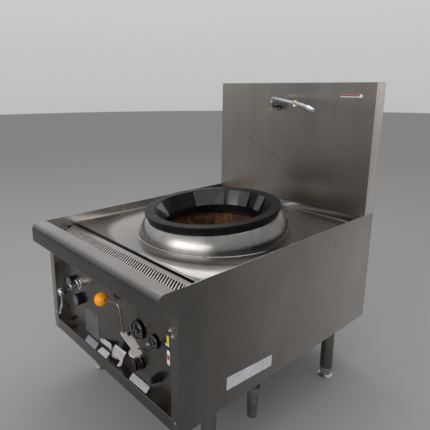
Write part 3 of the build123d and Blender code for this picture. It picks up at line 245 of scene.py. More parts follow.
def fired_steel(name):
    """Steel that flames have scaled: dark oxide with rust and paler ash."""
    finish, tree, shader = new_finish(name, (0.1, 0.05, 0.03), 0.8, 0.15)
    scale = noise(tree, mapped(tree), 26.0, detail=8.0, roughness=0.65, distortion=1.2)
    fine = noise(tree, mapped(tree), 320.0, detail=5.0, roughness=0.7)
    soot, oxide = (0.02, 0.012, 0.009), (0.09, 0.035, 0.017)
    rust, ash = (0.24, 0.105, 0.045), (0.3, 0.2, 0.13)
    stops = [(0.3, soot), (0.45, oxide), (0.58, rust), (0.72, ash)]
    color = tinted(tree, ramp(tree, scale, stops), spread(tree, fine, 0.6, 1.0), 0.7)
    tree.links.new(color, shader.inputs["Base Color"])
    tree.links.new(spread(tree, scale, 0.62, 0.95), shader.inputs["Roughness"])
    bumped(tree, shader, fine, strength=0.5, distance=0.001)
    return finish


def plated(name, dark, light, roughness):
    """Plated or plain machined metal with faint cloudiness and hairline marks."""
    finish, tree, shader = new_finish(name, light, roughness, 1.0)
    clouds = noise(tree, mapped(tree), 70.0, detail=5.0, distortion=0.6)
    hair = noise(tree, mapped(tree, (600.0, 90.0, 600.0)), 1.0, detail=2.0)
    color = ramp(tree, clouds, [(0.3, dark), (0.65, light)])
    color = tinted(tree, color, spread(tree, hair, 0.8, 1.0), 0.4)
    tree.links.new(color, shader.inputs["Base Color"])
    tree.links.new(spread(tree, clouds, roughness * 0.7, roughness * 1.6), shader.inputs["Roughness"])
    bumped(tree, shader, hair, strength=0.03, distance=0.0003)
    return finish


def moulded(name, dark, light, roughness, coat=0.0, pebble=900.0, depth=0.12, shine=0.5):
    """Moulded plastic or rubber with a fine pebble and slightly uneven colour."""
    finish, tree, shader = new_finish(name, light, roughness, 0.0)
    pebbles = noise(tree, mapped(tree), pebble, detail=3.0)
    clouds = noise(tree, mapped(tree), 45.0, detail=4.0)
    tree.links.new(ramp(tree, clouds, [(0.3, dark), (0.7, light)]), shader.inputs["Base Color"])
    tree.links.new(spread(tree, clouds, roughness - 0.04, roughness + 0.08), shader.inputs["Roughness"])
    shader.inputs["Specular IOR Level"].default_value = shine
    shader.inputs["Coat Weight"].default_value = coat
    shader.inputs["Coat Roughness"].default_value = 0.12
    bumped(tree, shader, pebbles, strength=depth, distance=0.0003)
    return finish


def paper(name, dark, light, roughness=0.6):
    """A blank label: plain stock, a little soiled, with soft creases."""
    finish, tree, shader = new_finish(name, light, roughness, 0.0)
    soil = noise(tree, mapped(tree), 38.0, detail=6.0, distortion=0.7)
    fibres = noise(tree, mapped(tree, (500.0, 500.0, 500.0)), 1.0, detail=3.0)
    color = ramp(tree, soil, [(0.3, dark), (0.6, light)])
    color = tinted(tree, color, spread(tree, fibres, 0.88, 1.0), 0.5)
    tree.links.new(color, shader.inputs["Base Color"])
    tree.links.new(spread(tree, soil, roughness + 0.1, roughness - 0.1), shader.inputs["Roughness"])
    bumped(tree, shader, soil, strength=0.2, distance=0.0008)
    return finish


# The sheet steels down to steel_splash are lit and shaded copies of one stainless steel, their tones
# painting the light each surface takes.
# painted shade: the right skin runs darker toward the front and lighter toward the back
steel_side = brushed_steel("steel_side", dark=(0.27, 0.25, 0.232), light=(0.335, 0.313, 0.292),
                           roughness=0.27, grain=(14.0, 900.0, 9.0), grain_bump=0.035,
                           painted_grade=("Y", -0.33, 0.4, 0.6, 2.2))
# painted light: a lighter copy for the left skin
steel_left = brushed_steel("steel_left", dark=(0.36, 0.337, 0.315), light=(0.43, 0.405, 0.38),
                           roughness=0.27, grain=(14.0, 900.0, 9.0), grain_bump=0.035)
# painted shade: a dark copy for the front, lighter toward the left and darker toward the right
steel_front = brushed_steel("steel_front", dark=(0.16, 0.146, 0.132), light=(0.215, 0.197, 0.18),
                            roughness=0.25, grain=(7.0, 700.0, 900.0), grain_bump=0.03,
                            painted_grade=("X", -0.25, 0.1, 1.25, 0.8))
# painted shade: its faces that look to the front are darkened to about a quarter
steel_rail = brushed_steel("steel_rail", dark=(0.43, 0.41, 0.392), light=(0.52, 0.5, 0.482),
                           roughness=0.2, grain=(7.0, 900.0, 900.0), grain_bump=0.03,
                           painted_facing_gain=("Y", -1, 0.27))
# painted light: the deck runs lighter toward the left and darker toward the right
steel_top = brushed_steel("steel_top", dark=(0.33, 0.312, 0.296), light=(0.43, 0.41, 0.392),
                          roughness=0.25, grain=(7.0, 800.0, 500.0), grain_bump=0.03,
                          painted_grade=("X", -0.28, 0.12, 1.6, 0.82))
# painted shade: a near-black copy for the gutter trough, seen in shade through the slots, and for the dark
# line painted on the splashback
painted_shade_steel = brushed_steel("painted_shade_steel", dark=(0.045, 0.042, 0.038), light=(0.075, 0.07, 0.064),
                             roughness=0.45, grain=(9.0, 300.0, 300.0))
# painted light: lighter toward the left, darker toward the right, and faces that look to the right made
# several times lighter
steel_splash = brushed_steel("steel_splash", dark=(0.25, 0.228, 0.21), light=(0.3, 0.276, 0.256),
                             roughness=0.3, grain=(17.0, 17.0, 0.7), patch=2.0, grain_bump=0.0,
                             scuff=0.12, painted_grade=("X", -0.3, 0.25, 1.5, 0.8), painted_facing_gain=("X", 1, 4.2))
steel_tube = brushed_steel("steel_tube", dark=(0.17, 0.155, 0.14), light=(0.26, 0.24, 0.22),
                           roughness=0.22, grain=(500.0, 500.0, 12.0))
steel_inside = brushed_steel("steel_inside", dark=(0.25, 0.24, 0.23), light=(0.36, 0.35, 0.34),
                             roughness=0.4, grain=(9.0, 300.0, 300.0))
steel_spun = spun_steel("steel_spun", dark=(0.36, 0.345, 0.328), light=(0.52, 0.503, 0.485),
                        roughness=0.24, centre=at(*RING_CENTRE))
iron_ring = cast_iron("iron_ring", dark=(0.003, 0.003, 0.0035), light=(0.008, 0.0075, 0.0075),
                      roughness=0.36)
fired = fired_steel("fired_steel")
chrome = plated("chrome_plate", dark=(0.62, 0.62, 0.62), light=(0.86, 0.86, 0.86), roughness=0.08)
satin_chrome = plated("satin_chrome", dark=(0.72, 0.73, 0.75), light=(0.9, 0.91, 0.93), roughness=0.22)
worn_chrome = plated("worn_chrome", dark=(0.14, 0.13, 0.12), light=(0.28, 0.27, 0.26), roughness=0.2)
dark_steel = plated("dark_steel", dark=(0.2, 0.195, 0.19), light=(0.36, 0.35, 0.34), roughness=0.22)
# painted highlight: a light copy of the steel for the skins' ground top edges, the strainer bars and the
# collar seam
burnished_painted_highlight = plated("burnished_edge_painted_highlight", dark=(0.6, 0.57, 0.54), light=(0.8, 0.77, 0.74), roughness=0.3)
brass = plated("brass", dark=(0.42, 0.29, 0.12), light=(0.62, 0.46, 0.22), roughness=0.28)
pad_black = moulded("pad_black", dark=(0.01, 0.009, 0.012), light=(0.018, 0.017, 0.021), roughness=0.16,
                    coat=0.5, depth=0.02)
copper = plated("copper", dark=(0.4, 0.18, 0.1), light=(0.6, 0.3, 0.18), roughness=0.32)
zinc = plated("zinc_plate", dark=(0.42, 0.4, 0.37), light=(0.62, 0.6, 0.57), roughness=0.26)
pipe_grey = brushed_steel("pipe_grey", dark=(0.16, 0.155, 0.15), light=(0.34, 0.33, 0.32),
                          roughness=0.46, grain=(60.0, 60.0, 60.0), patch=40.0, grain_bump=0.3)
black_plastic = moulded("black_plastic", dark=(0.003, 0.003, 0.0035), light=(0.008, 0.008, 0.009),
                        roughness=0.24, shine=0.3)
grey_face = moulded("grey_face", dark=(0.085, 0.087, 0.096), light=(0.125, 0.128, 0.14), roughness=0.34)
orange_plastic = moulded("orange_plastic", dark=(0.94, 0.33, 0.001), light=(1.0, 0.38, 0.002),
                         roughness=0.26, coat=0.2, pebble=300.0, depth=0.03, shine=0.3)
red_plastic = moulded("red_plastic", dark=(0.3, 0.012, 0.014), light=(0.42, 0.018, 0.02),
                      roughness=0.35)
rubber = moulded("black_rubber", dark=(0.006, 0.006, 0.006), light=(0.014, 0.014, 0.014), roughness=0.5)
seal_orange = moulded("pipe_seal", dark=(0.5, 0.16, 0.03), light=(0.68, 0.26, 0.05), roughness=0.55)
tag_paper = paper("tag_paper", dark=(0.34, 0.335, 0.335), light=(0.5, 0.495, 0.49))
blue_label = paper("blue_label", dark=(0.3, 0.34, 0.37), light=(0.42, 0.47, 0.51))
white_label = paper("white_label", dark=(0.56, 0.57, 0.6), light=(0.74, 0.75, 0.78))
grey_label = paper("grey_label", dark=(0.07, 0.07, 0.072), light=(0.11, 0.11, 0.113), roughness=0.4)
yellow_label = paper("yellow_label", dark=(0.55, 0.42, 0.02), light=(0.72, 0.57, 0.03))
red_label = paper("red_label", dark=(0.35, 0.02, 0.02), light=(0.5, 0.03, 0.03))
galvanised = cast_iron("galvanised_sheet", dark=(0.58, 0.55, 0.52), light=(0.74, 0.71, 0.67),
                       roughness=0.42)

node_finish = {
    "left_side_panel": steel_left, "right_side_panel": steel_side, "front_rail": steel_rail,
    "control_panel": steel_front, "front_apron": steel_front, "base_pan": steel_inside,
    "rear_panel": steel_splash, "worktop": steel_top, "splashback_shell": steel_splash,
    # the gutter trough takes the painted-shade copy of the steel
    "splashback_cover": steel_splash, "gutter_trough": painted_shade_steel, "gutter_strainer": steel_rail,
    "drain_spigot": steel_tube, "spun_collar": steel_spun, "wok_ring": iron_ring, "fire_chamber": fired,
    "heat_shield": steel_inside, "burner_head": fired, "mixer_tube": fired, "gas_injector": brass,
    "pilot_burner": brass, "gas_inlet": pipe_grey, "gas_manifold": pipe_grey,
    "burner_feed_pipe": pipe_grey, "pilot_tube": copper, "lever_valve": zinc, "lever_arm": zinc,
    "lever_rod": dark_steel, "lever_ball": orange_plastic, "gas_knob": black_plastic,
    "gas_cock": brass, "igniter_body": black_plastic,
    "igniter_button": black_plastic, "handwheel_large": black_plastic, "handwheel_small": black_plastic,
    "water_valve_large": brass, "water_valve_small": brass, "upper_knob": black_plastic,
    "lower_knob": black_plastic, "knob_valves": brass, "tap_body": chrome, "tap_ring": rubber,
    "tap_lever": chrome, "water_header": copper, "tap_feed_pipe": copper, "faucet_feed_pipe": copper,
    "faucet_post": worn_chrome, "faucet_cap_nut": brass, "faucet_arm_1": satin_chrome,
    "faucet_arm_2": satin_chrome, "faucet_nozzle": satin_chrome, "leg_sockets": steel_inside,
}
for corner in ("front_left", "front_right", "rear_left", "rear_right"):
    node_finish["leg_" + corner] = steel_tube
    node_finish["foot_" + corner] = zinc
for node, finish in node_finish.items():
    for material_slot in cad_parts[node].material_slots:
        material_slot.material = finish


# ---- making pieces ----
def piece(name, mesh, finish, body, smooth=True):
    """Turns a bmesh into a piece of the range that rides a body."""
    bmesh.ops.recalc_face_normals(mesh, faces=mesh.faces)
    data = bpy.data.meshes.new(name)
    mesh.to_mesh(data)
    mesh.free()
    if smooth:
        data.shade_smooth()
        data.set_sharp_from_angle(angle=SHARP_ANGLE)
    data.materials.append(finish)
    made = bpy.data.objects.new(name, data)
    bpy.context.scene.collection.objects.link(made)
    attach(made, body)
    return made


def facing(direction):
    """The turn that takes +Z to a direction."""
    return Vector((0.0, 0.0, 1.0)).rotation_difference(Vector(direction)).to_matrix().to_4x4()


def verts_in(geometry):
    """The vertices among what an operator gives back."""
    return [part for part in geometry if isinstance(part, bmesh.types.BMVert)]


def edges_in(geometry):
    """The edges among what an operator gives back."""
    return [part for part in geometry if isinstance(part, bmesh.types.BMEdge)]


def edges_of(verts):
    """Every edge that meets some vertices, once each."""
    return list(dict.fromkeys(edge for vert in verts for edge in vert.link_edges))


def eased(mesh, geometry, width, segments=3, affect="EDGES", clamp=False):
    """Rounds edges or corners over a width, in mm."""
    bmesh.ops.bevel(mesh, geom=geometry, offset=mm(width), offset_type="OFFSET", segments=segments,
                    profile=0.5, affect=affect, material=-1, clamp_overlap=clamp)


def drum(mesh, place, direction, radius, depth, top_radius=None, segments=32, edge=0.0):
    """Adds a round or tapered drum that stands on `place` and rises along `direction`, in mm."""
    top = radius if top_radius is None else top_radius
    way = Vector(direction).normalized()
    middle = Matrix.Translation((0, 0, mm(depth) / 2))
    shape = bmesh.ops.create_cone(
        mesh, cap_ends=True, segments=segments, radius1=mm(radius), radius2=mm(top), depth=mm(depth),
        matrix=Matrix.Translation(at(*place)) @ facing(direction) @ middle,
    )
    if edge > 0.0:
        end = at(*place) + way * mm(depth)
        rim = [e for e in edges_of(shape["verts"])
               if all(abs((v.co - end).dot(way)) < TOUCHING for v in e.verts)]
        eased(mesh, rim, edge, clamp=True)


def screw_head(mesh, place, direction, radius):
    """Adds a pan-head screw with a washer and a cross recess."""
    away = Vector(direction).normalized()
    washer = radius * 0.14
    drum(mesh, place, direction, radius * 1.5, washer, segments=28)
    seat = Vector(place) + away * washer
    drum(mesh, seat, direction, radius, radius * 0.55, top_radius=radius * 0.82, segments=28,
         edge=radius * 0.22)
    top = seat + away * radius * 0.56
    turn = Matrix.Translation(at(*top)) @ facing(direction)
    slot = Matrix.Diagonal((mm(radius * 1.05), mm(radius * 0.2), mm(radius * 0.16), 1.0))
    for angle in (0.35, 0.35 + math.pi / 2):
        bmesh.ops.create_cube(mesh, size=1.0, matrix=turn @ Matrix.Rotation(angle, 4, "Z") @ slot)


def hexagon(mesh, place, direction, across, depth):
    """Adds a hexagon nut or bolt head with its corners eased."""
    drum(mesh, place, direction, across / math.sqrt(3), depth, segments=6, edge=across * 0.06)


def plate(mesh, corners, thickness, outward, corner_radius=2.0):
    """Adds a thin plate with rounded corners, laid by its corners, in mm."""
    face = mesh.faces.new([mesh.verts.new(at(*corner)) for corner in corners])
    eased(mesh, face.verts[:], corner_radius, segments=4, affect="VERTICES")
    grown = bmesh.ops.extrude_face_region(mesh, geom=mesh.faces[:])["geom"]
    lift = Vector(outward).normalized() * mm(thickness)
    bmesh.ops.translate(mesh, verts=verts_in(grown), vec=lift)


def bar(mesh, low, high, edge=0.0, slant=0.0):
    """Adds a straight bar between two corners, eased at its edges; slant leans it in x along y."""
    size = at(*high) - at(*low)
    middle = (at(*high) + at(*low)) / 2
    lean = Matrix(((1, -slant, 0, 0), (0, 1, 0, 0), (0, 0, 1, 0), (0, 0, 0, 1)))
    form = Matrix.Translation(middle) @ lean @ Matrix.Diagonal((*size, 1.0))
    shape = bmesh.ops.create_cube(mesh, size=1.0, matrix=form)
    if edge > 0.0:
        eased(mesh, edges_of(shape["verts"]), edge)


def bent(points, radius):
    """A run of points with each inner corner turned into a bend."""
    steps = 6
    points = [Vector(point) for point in points]
    path = [points[0]]
    for before, corner, after in zip(points, points[1:], points[2:]):
        back = (before - corner).normalized()
        on = (after - corner).normalized()
        reach = radius / math.tan(back.angle(on) / 2)
        start, end = corner + back * reach, corner + on * reach
        for step in range(steps + 1):
            t = step / steps
            path.append(start * (1 - t) ** 2 + corner * 2 * t * (1 - t) + end * t ** 2)
    return path + [points[-1]]


def tube(mesh, points, radius, bend=0.0, segments=20):
    """Adds a capped pipe through points, in mm, with its corners bent to a radius."""
    path = [at(*point) for point in (bent(points, bend) if len(points) > 2 else points)]
    ways = [(b - a).normalized() for a, b in zip(path, path[1:])]
    ways = [ways[0]] + [(a + b).normalized() for a, b in zip(ways, ways[1:])] + [ways[-1]]
    start = bmesh.ops.create_circle(mesh, cap_ends=True, segments=segments, radius=mm(radius),
                                    matrix=Matrix.Translation(path[0]) @ facing(ways[0]))
    edges = edges_of(start["verts"])
    for index in range(1, len(path)):
        grown = bmesh.ops.extrude_edge_only(mesh, edges=edges)["geom"]
        edges = edges_in(grown)
        turn = ways[index - 1].rotation_difference(ways[index]).to_matrix().to_4x4()
        step = Matrix.Translation(path[index]) @ turn @ Matrix.Translation(-path[index - 1])
        bmesh.ops.transform(mesh, verts=verts_in(grown), matrix=step)
    bmesh.ops.edgeloop_fill(mesh, edges=edges)


def spun(mesh, profile, frame_of_turn, steps=160, angle=math.tau):
    """Revolves a run of (radius, height) points, in mm, about a frame's own z axis."""
    verts = [mesh.verts.new(frame_of_turn @ Vector((mm(r), 0.0, mm(h)))) for r, h in profile]
    edges = [mesh.edges.new(pair) for pair in zip(verts, verts[1:])]
    whole = angle >= math.tau
    section = [] if whole else [mesh.faces.new(verts)]
    bmesh.ops.spin(mesh, geom=verts + edges + section, cent=frame_of_turn.translation,
                   axis=frame_of_turn.to_3x3() @ Vector((0, 0, 1)), angle=angle, steps=steps,
                   use_merge=whole, use_duplicate=False)


# ---- deck: worktop, strainer, collar and ring ----
def pressed_worktop():
    """The deck: flat plate falling in one smooth curve to the dish round the collar."""
    side, front, back = 298.2, 98.0, 738.5
    crown = 289.5  # radius where the deck starts to fall
    falls = ((284.0, 0.2), (276.0, 0.8), (268.0, 1.7), (260.0, 2.9), (252.0, 4.3), (245.0, 5.7),
             (239.0, 7.0), (234.0, 8.2), (229.0, 9.5), (196.0, 9.5))
    rounded_front = ((0, -0.8, -0.15), (0, -0.7, -0.6), (0, -0.5, -1.25), (0, 0, -18.0))
    turned_down, turned_up = ((0, 0, -18.0),), ((0, 0, 47.0),)
    mesh = bmesh.new()
    corners = [mesh.verts.new(at(x, y, DECK_Z)) for x, y in
               ((-side, front), (side, front), (side, back), (-side, back))]
    border = [mesh.edges.new((a, b)) for a, b in zip(corners, corners[1:] + corners[:1])]
    centre = at(0.0, RING_CENTRE[1], DECK_Z)
    hole = bmesh.ops.create_circle(mesh, cap_ends=False, segments=160, radius=mm(crown),
                                   matrix=Matrix.Translation(centre))
    edges = edges_of(hole["verts"])
    bmesh.ops.triangle_fill(mesh, use_beauty=True, use_dissolve=False, edges=border + edges,
                            normal=UP)
    radius, level = crown, 0.0
    for next_radius, drop in falls:
        grown = bmesh.ops.extrude_edge_only(mesh, edges=edges)["geom"]
        edges = edges_in(grown)
        shrink = next_radius / radius
        lowered = Matrix.Translation(centre - Vector((0, 0, mm(drop))))
        back_to_centre = Matrix.Translation(-(centre - Vector((0, 0, mm(level)))))
        bmesh.ops.transform(mesh, verts=verts_in(grown),
                            matrix=lowered @ Matrix.Diagonal((shrink, shrink, 1.0, 1.0)) @ back_to_centre)
        radius, level = next_radius, drop
    for edge, moves in zip(border, (rounded_front, turned_down, turned_up, turned_down)):
        for move in moves:
            grown = bmesh.ops.extrude_edge_only(mesh, edges=[edge])["geom"]
            bmesh.ops.translate(mesh, verts=verts_in(grown), vec=Vector(move) / 1000.0)
            edge = [e for e in edges_in(grown) if all(v in grown for v in e.verts)][0]
    made = piece("pressed_worktop", mesh, steel_top, "cabinet")
    if max(made.data.polygons, key=lambda face: face.area).normal.z < 0.0:
        made.data.flip_normals()
    thick = made.modifiers.new("sheet", "SOLIDIFY")
    thick.thickness = mm(1.2)
    thick.offset = -1.0
    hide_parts("worktop")


def slotted_strainer():
    """The lift-out strainer: front and back lands, slanting rounded bars between, and two legs."""
    end, top, foot = 294.7, 316.0, 298.0
    front, back = 3.0, 84.0
    pitch, count, half_bar, slant = 9.25, 58, 2.2, 0.72
    mesh = bmesh.new()
    bars = bmesh.new()
    bar(mesh, (-end, front, top - SKIN), (end, 33.0, top), 0.5)
    bar(mesh, (-end, 67.0, top - SKIN), (end, back, top), 0.5)
    bar(mesh, (-end, front, foot), (end, front + SKIN, top - 0.7), 0.4)
    bar(mesh, (-end, back - SKIN, foot), (end, back, top - 0.7), 0.4)
    for side in (-1, 1):
        low, high = sorted((side * 276.0, side * end))
        bar(mesh, (low, 32.0, top - SKIN), (high, 68.0, top), 0.3)
        low, high = sorted((side * 268.0, side * 281.0))
        bar(mesh, (low, 31.5, top - 1.3), (high, 68.5, top), 0.3, slant)
        low, high = sorted((side * 266.0, side * 277.0))
        near, far = (56.0, 68.0) if side > 0 else (32.0, 44.0)
        bar(mesh, (low, near, top - 1.4), (high, far, top), 0.3)
    for index in range(count):
        x = (index - (count - 1) / 2) * pitch
        bar(bars, (x - half_bar, 31.0, top - 0.7), (x + half_bar, 69.0, top + 0.1), 0.36, slant)
    made = piece("slotted_strainer", mesh, steel_rail, "strainer")
    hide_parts("gutter_strainer")
    # painted highlight: the bars take the light copy of the steel
    piece("strainer_bars", bars, burnished_painted_highlight, "strainer")


def leaning_frame():
    """The frame that the ring and the collar are turned about."""
    return Matrix.Translation(at(*RING_CENTRE)) @ facing(RING_LEAN)


def spun_skirt():
    """The collar: lip under the ring, one round shoulder, a steep wall, and the seam at its foot."""
    foot, seam_foot = 308.0, 308.3
    outside = [(178.5, -20.0), (193.0, -20.0), (197.5, -20.8), (201.5, -23.5), (207.0, -29.5),
               (213.5, -38.0), (218.4, -47.0), (221.9, -56.0), (224.2, -66.0), (225.4, -77.0),
               (225.8, -88.0), (225.8, -102.0)]
    inside = [(224.3, -102.0), (224.3, -88.0), (223.8, -77.0), (220.3, -56.0), (212.0, -39.0),
              (200.0, -24.8), (193.0, -21.5), (178.5, -21.5)]
    mesh = bmesh.new()
    spun(mesh, outside + inside + [outside[0]], leaning_frame())
    bmesh.ops.remove_doubles(mesh, verts=mesh.verts[:], dist=TOUCHING)
    bmesh.ops.bisect_plane(mesh, geom=mesh.verts[:] + mesh.edges[:] + mesh.faces[:],
                           plane_co=at(0, 0, foot), plane_no=(0, 0, -1), clear_outer=True)
    made = piece("spun_skirt", mesh, steel_spun, "cabinet")
    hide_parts("spun_collar")
    bead = bmesh.new()
    level = Matrix.Translation(at(0.0, RING_CENTRE[1], seam_foot))
    spun(bead, [(224.4, 0.4), (225.9, 2.0), (226.8, 1.9), (227.9, 0.9), (228.4, 0.2)], level)
    # painted highlight along the seam bead
    piece("collar_seam", bead, burnished_painted_highlight, "cabinet")


def pad_faces():
    """The glossy wearing faces of the ring's pads, each between two angles in degrees."""
    section = [(172.4, -1.6), (147.6, -44.6), (149.6, -45.6), (174.6, -2.4)]
    mesh = bmesh.new()
    for start, end in ((121, 157), (89, 116), (64, 76), (-76, -64), (-116, -89), (-157, -121)):
        turned = leaning_frame() @ Matrix.Rotation(math.radians(start), 4, "Z")
        spun(mesh, section, turned, steps=16, angle=math.radians(end - start))
    piece("pad_faces", mesh, pad_black, "ring")


def deck_step():
    """The low welded step along the back of the deck, and a faint dark line across the splashback: a
    painted reflection.
    """
    half_length, front, rise = 297.0, 722.0, 3.0
    mesh = bmesh.new()
    bar(mesh, (-half_length, front, DECK_Z - 0.5), (half_length, SPLASH_Y - 0.2, DECK_Z + rise), 0.9)
    piece("deck_step", mesh, steel_rail, "cabinet")
    # painted reflection: a thin dark line laid across the splashback
    line = bmesh.new()
    marks = [(-187.6, 560.5), (-109.6, 516.1), (-27.9, 482.3), (55.3, 466.7), (117.6, 454.1),
             (176.7, 437.0)]
    tube(line, [(x, SPLASH_Y, z) for x, z in marks], 0.5, 40.0, segments=6)
    piece("splash_painted_reflection", line, painted_shade_steel, "cabinet")


# ---- faucet ----
def swivel_arms():
    """The two faucet tubes, almost in one line, with a slim sleeve and a brass cap where they join."""
    post_x, post_y = -36.0, 700.0
    joint_x, joint_y = 131.0, 594.0
    inner_radius, outer_radius = 5.5, 5.7
    mesh = bmesh.new()
    tube(mesh, [(post_x, post_y, 664.0), (post_x, post_y, 689.0), (joint_x, joint_y, 679.0)],
         inner_radius, 14.0)
    drum(mesh, (joint_x, joint_y, 670.5), UP, 6.4, 10.0, edge=0.6)
    inner = piece("inner_arm", mesh, satin_chrome, "faucet_inner_arm")
    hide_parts("faucet_arm_1")
    mesh = bmesh.new()
    tube(mesh, [(joint_x, joint_y, 680.0), (237.0, 499.5, 674.4)], outer_radius)
    outer = piece("outer_arm", mesh, satin_chrome, "faucet_outer_arm")
    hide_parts("faucet_arm_2")
    tip = bmesh.new()
    root, way = Vector((236.0, 500.2, 674.6)), Vector((26.0, -13.2, -5.0))
    sleeve = 13.0
    drum(tip, root, way, 6.3, sleeve, edge=1.0)
    drum(tip, root + way.normalized() * sleeve, way, 4.8, 16.4, top_radius=4.4, edge=0.8)
    nozzle = piece("nozzle_tip", tip, satin_chrome, "faucet_outer_arm")
    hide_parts("faucet_nozzle")
    cap = bmesh.new()
    drum(cap, (joint_x, joint_y, 680.7), UP, 7.2, 6.8, edge=0.8)
    piece("joint_cap", cap, brass, "faucet_outer_arm")


# ---- cabinet: edges, pipe, screws, fittings, labels ----
def panel_edges():
    """The ground top edges of the side skins, bright from grinding and with a painted highlight."""
    front = 18.0
    mesh = bmesh.new()
    for x in (-HALF_WIDTH, HALF_WIDTH - SKIN):
        bar(mesh, (x, front, RIM_Z - 0.6), (x + SKIN, SPLASH_Y, RIM_Z + 0.1), 0.25)
    piece("panel_edges", mesh, burnished_painted_highlight, "cabinet")


def pipe_ring():
    """The jointing compound and the seam ring, within the gas pipe's nut and coupling."""
    x, y = 260.0, 291.0
    mesh = bmesh.new()
    drum(mesh, (x, y, -48.0), UP, 14.0, 4.5, edge=1.2)
    piece("pipe_compound", mesh, seal_orange, "cabinet")
    seam = bmesh.new()
    drum(seam, (x, y, -99.0), UP, 14.4, 3.0, edge=1.0)
    piece("pipe_seam_ring", seam, zinc, "cabinet")


def cabinet_screws():
    """Screws in the front returns, and at the rear, where the sheet hides them."""
    cover_y, rear_y = BACK_Y - 2.5, BACK_Y - 2.0
    mesh = bmesh.new()
    screw_head(mesh, (-288.0, -0.05, 52.0), TO_FRONT, 3.0)
    screw_head(mesh, (288.0, -0.05, 30.0), TO_FRONT, 2.2)
    for z in (372.0, 540.0, 712.0):
        for x in (-280.0, 0.0, 280.0):
            screw_head(mesh, (x, cover_y, z), TO_BACK, 2.4)
    for z in (40.0, 190.0, 330.0):
        for x in (-288.0, 288.0):
            screw_head(mesh, (x, rear_y, z), TO_BACK, 2.4)
    piece("cabinet_screws", mesh, zinc, "cabinet")


def flange_bolts():
    """The plated bolts high on the right front return."""
    washer, head = 1.0, 3.5
    mesh = bmesh.new()
    for x, z in ((280.5, 251.0), (288.5, 240.5)):
        drum(mesh, (x, 0.0, z), TO_FRONT, 4.6, washer)
        hexagon(mesh, (x, -washer, z), TO_FRONT, 6.5, head)
        drum(mesh, (x, -washer - head, z), TO_FRONT, 2.0, 3.0, edge=0.5)
    piece("flange_bolts", mesh, chrome, "cabinet")


def panel_fittings():
    """The dark fitting and the small bracket low on the left of the control panel."""
    x, z, nut = -225.0, 48.0, 5.0
    mesh = bmesh.new()
    hexagon(mesh, (x, PANEL_Y, z), TO_FRONT, 12.0, nut)
    drum(mesh, (x, PANEL_Y - nut, z), TO_FRONT, 4.0, 9.0, edge=1.0)
    drum(mesh, (-262.0, PANEL_Y, 74.0), TO_FRONT, 6.0, 3.0, edge=0.8)
    piece("panel_fittings", mesh, black_plastic, "cabinet")


def flat_label(name, corners, outward, finish, thickness=0.3, corner_radius=2.0):
    """A blank label or plate stuck flat on the cabinet."""
    mesh = bmesh.new()
    plate(mesh, corners, thickness, outward, corner_radius)
    piece(name, mesh, finish, "cabinet", smooth=False)


def on_panel(*corners):
    return [(x, PANEL_Y, z) for x, z in corners]


def on_ledge(*corners):
    return [(x, y, LEDGE_Z) for x, y in corners]


def on_side(*corners):
    return [(HALF_WIDTH, y, z) for y, z in corners]


def upright(left, right, low, high, y=PANEL_Y):
    """The corners of a rectangle that faces the front."""
    return [(left, y, high), (left, y, low), (right, y, low), (right, y, high)]


def crumpled_tag():
    """The torn paper tag caught on the panel: two folded strips, the lower one resting on the ledge."""
    mesh = bmesh.new()
    places = {
        "a": (-71.5, 27, 50.8), "b": (-54, 27, 59), "c": (11, 15, 77), "k": (8, 15, 56), "l": (-65, 27, 38),
        "d": (35, 15, 89), "e": (84, 15, 91), "f": (67, 15, 67), "g": (57, 15, 40), "h": (51, 9, 35),
        "i": (53, 15, 52), "j": (4, 15, 37.6), "m": (44, 9, 36),
    }
    verts = {name: mesh.verts.new(at(*place)) for name, place in places.items()}
    for names in ("abl", "bckl", "deij", "efi", "igf", "gih", "him"):
        mesh.faces.new([verts[name] for name in names])
    bmesh.ops.subdivide_edges(mesh, edges=mesh.edges[:], cuts=3, use_grid_fill=True, fractal=0.35,
                              seed=4)
    made = piece("paper_tag", mesh, tag_paper, "cabinet")
    thick = made.modifiers.new("paper", "SOLIDIFY")
    thick.thickness = mm(0.4)
    thick.offset = 0.0


# ---- controls ----
def thin_rod():
    """The lever's bent rod, from its two nuts up and over to the ball."""
    x, y, foot, knee = 88.0, 4.0, 146.0, 168.0
    radius, bend, into_ball = 2.3, 17.0, 10.0
    ball, top = Vector((-2.0, 0.0, 207.0)), Vector((80.0, 0.0, 229.0))
    end = ball - (ball - top).normalized() * into_ball
    mesh = bmesh.new()
    tube(mesh, [(x, y, foot), (x, y, knee), top, end], radius, bend)
    for nut_foot in (147.5, 154.5):
        hexagon(mesh, (x, y, nut_foot), UP, 9.0, 4.5)
    made = piece("thin_rod", mesh, dark_steel, "swing_lever")
    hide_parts("lever_rod")


def arm_plate():
    """The swing lever's arm: flat plate with a hooked lobe at its end."""
    foot, sheet, corner_radius = 152.0, 2.5, 3.0
    outline = [(84.0, -2.0), (124.0, -11.0), (158.0, -18.0), (160.0, -25.0), (166.0, -32.5),
               (176.0, -36.0), (188.5, -33.0), (188.5, -10.0), (160.4, -0.5), (126.4, 9.6),
               (100.0, 12.6), (90.0, 9.5)]
    mesh = bmesh.new()
    plate(mesh, [(x, y, foot) for x, y in reversed(outline)], sheet, UP, corner_radius)
    made = piece("arm_plate", mesh, galvanised, "swing_lever", smooth=False)
    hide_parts("lever_arm")


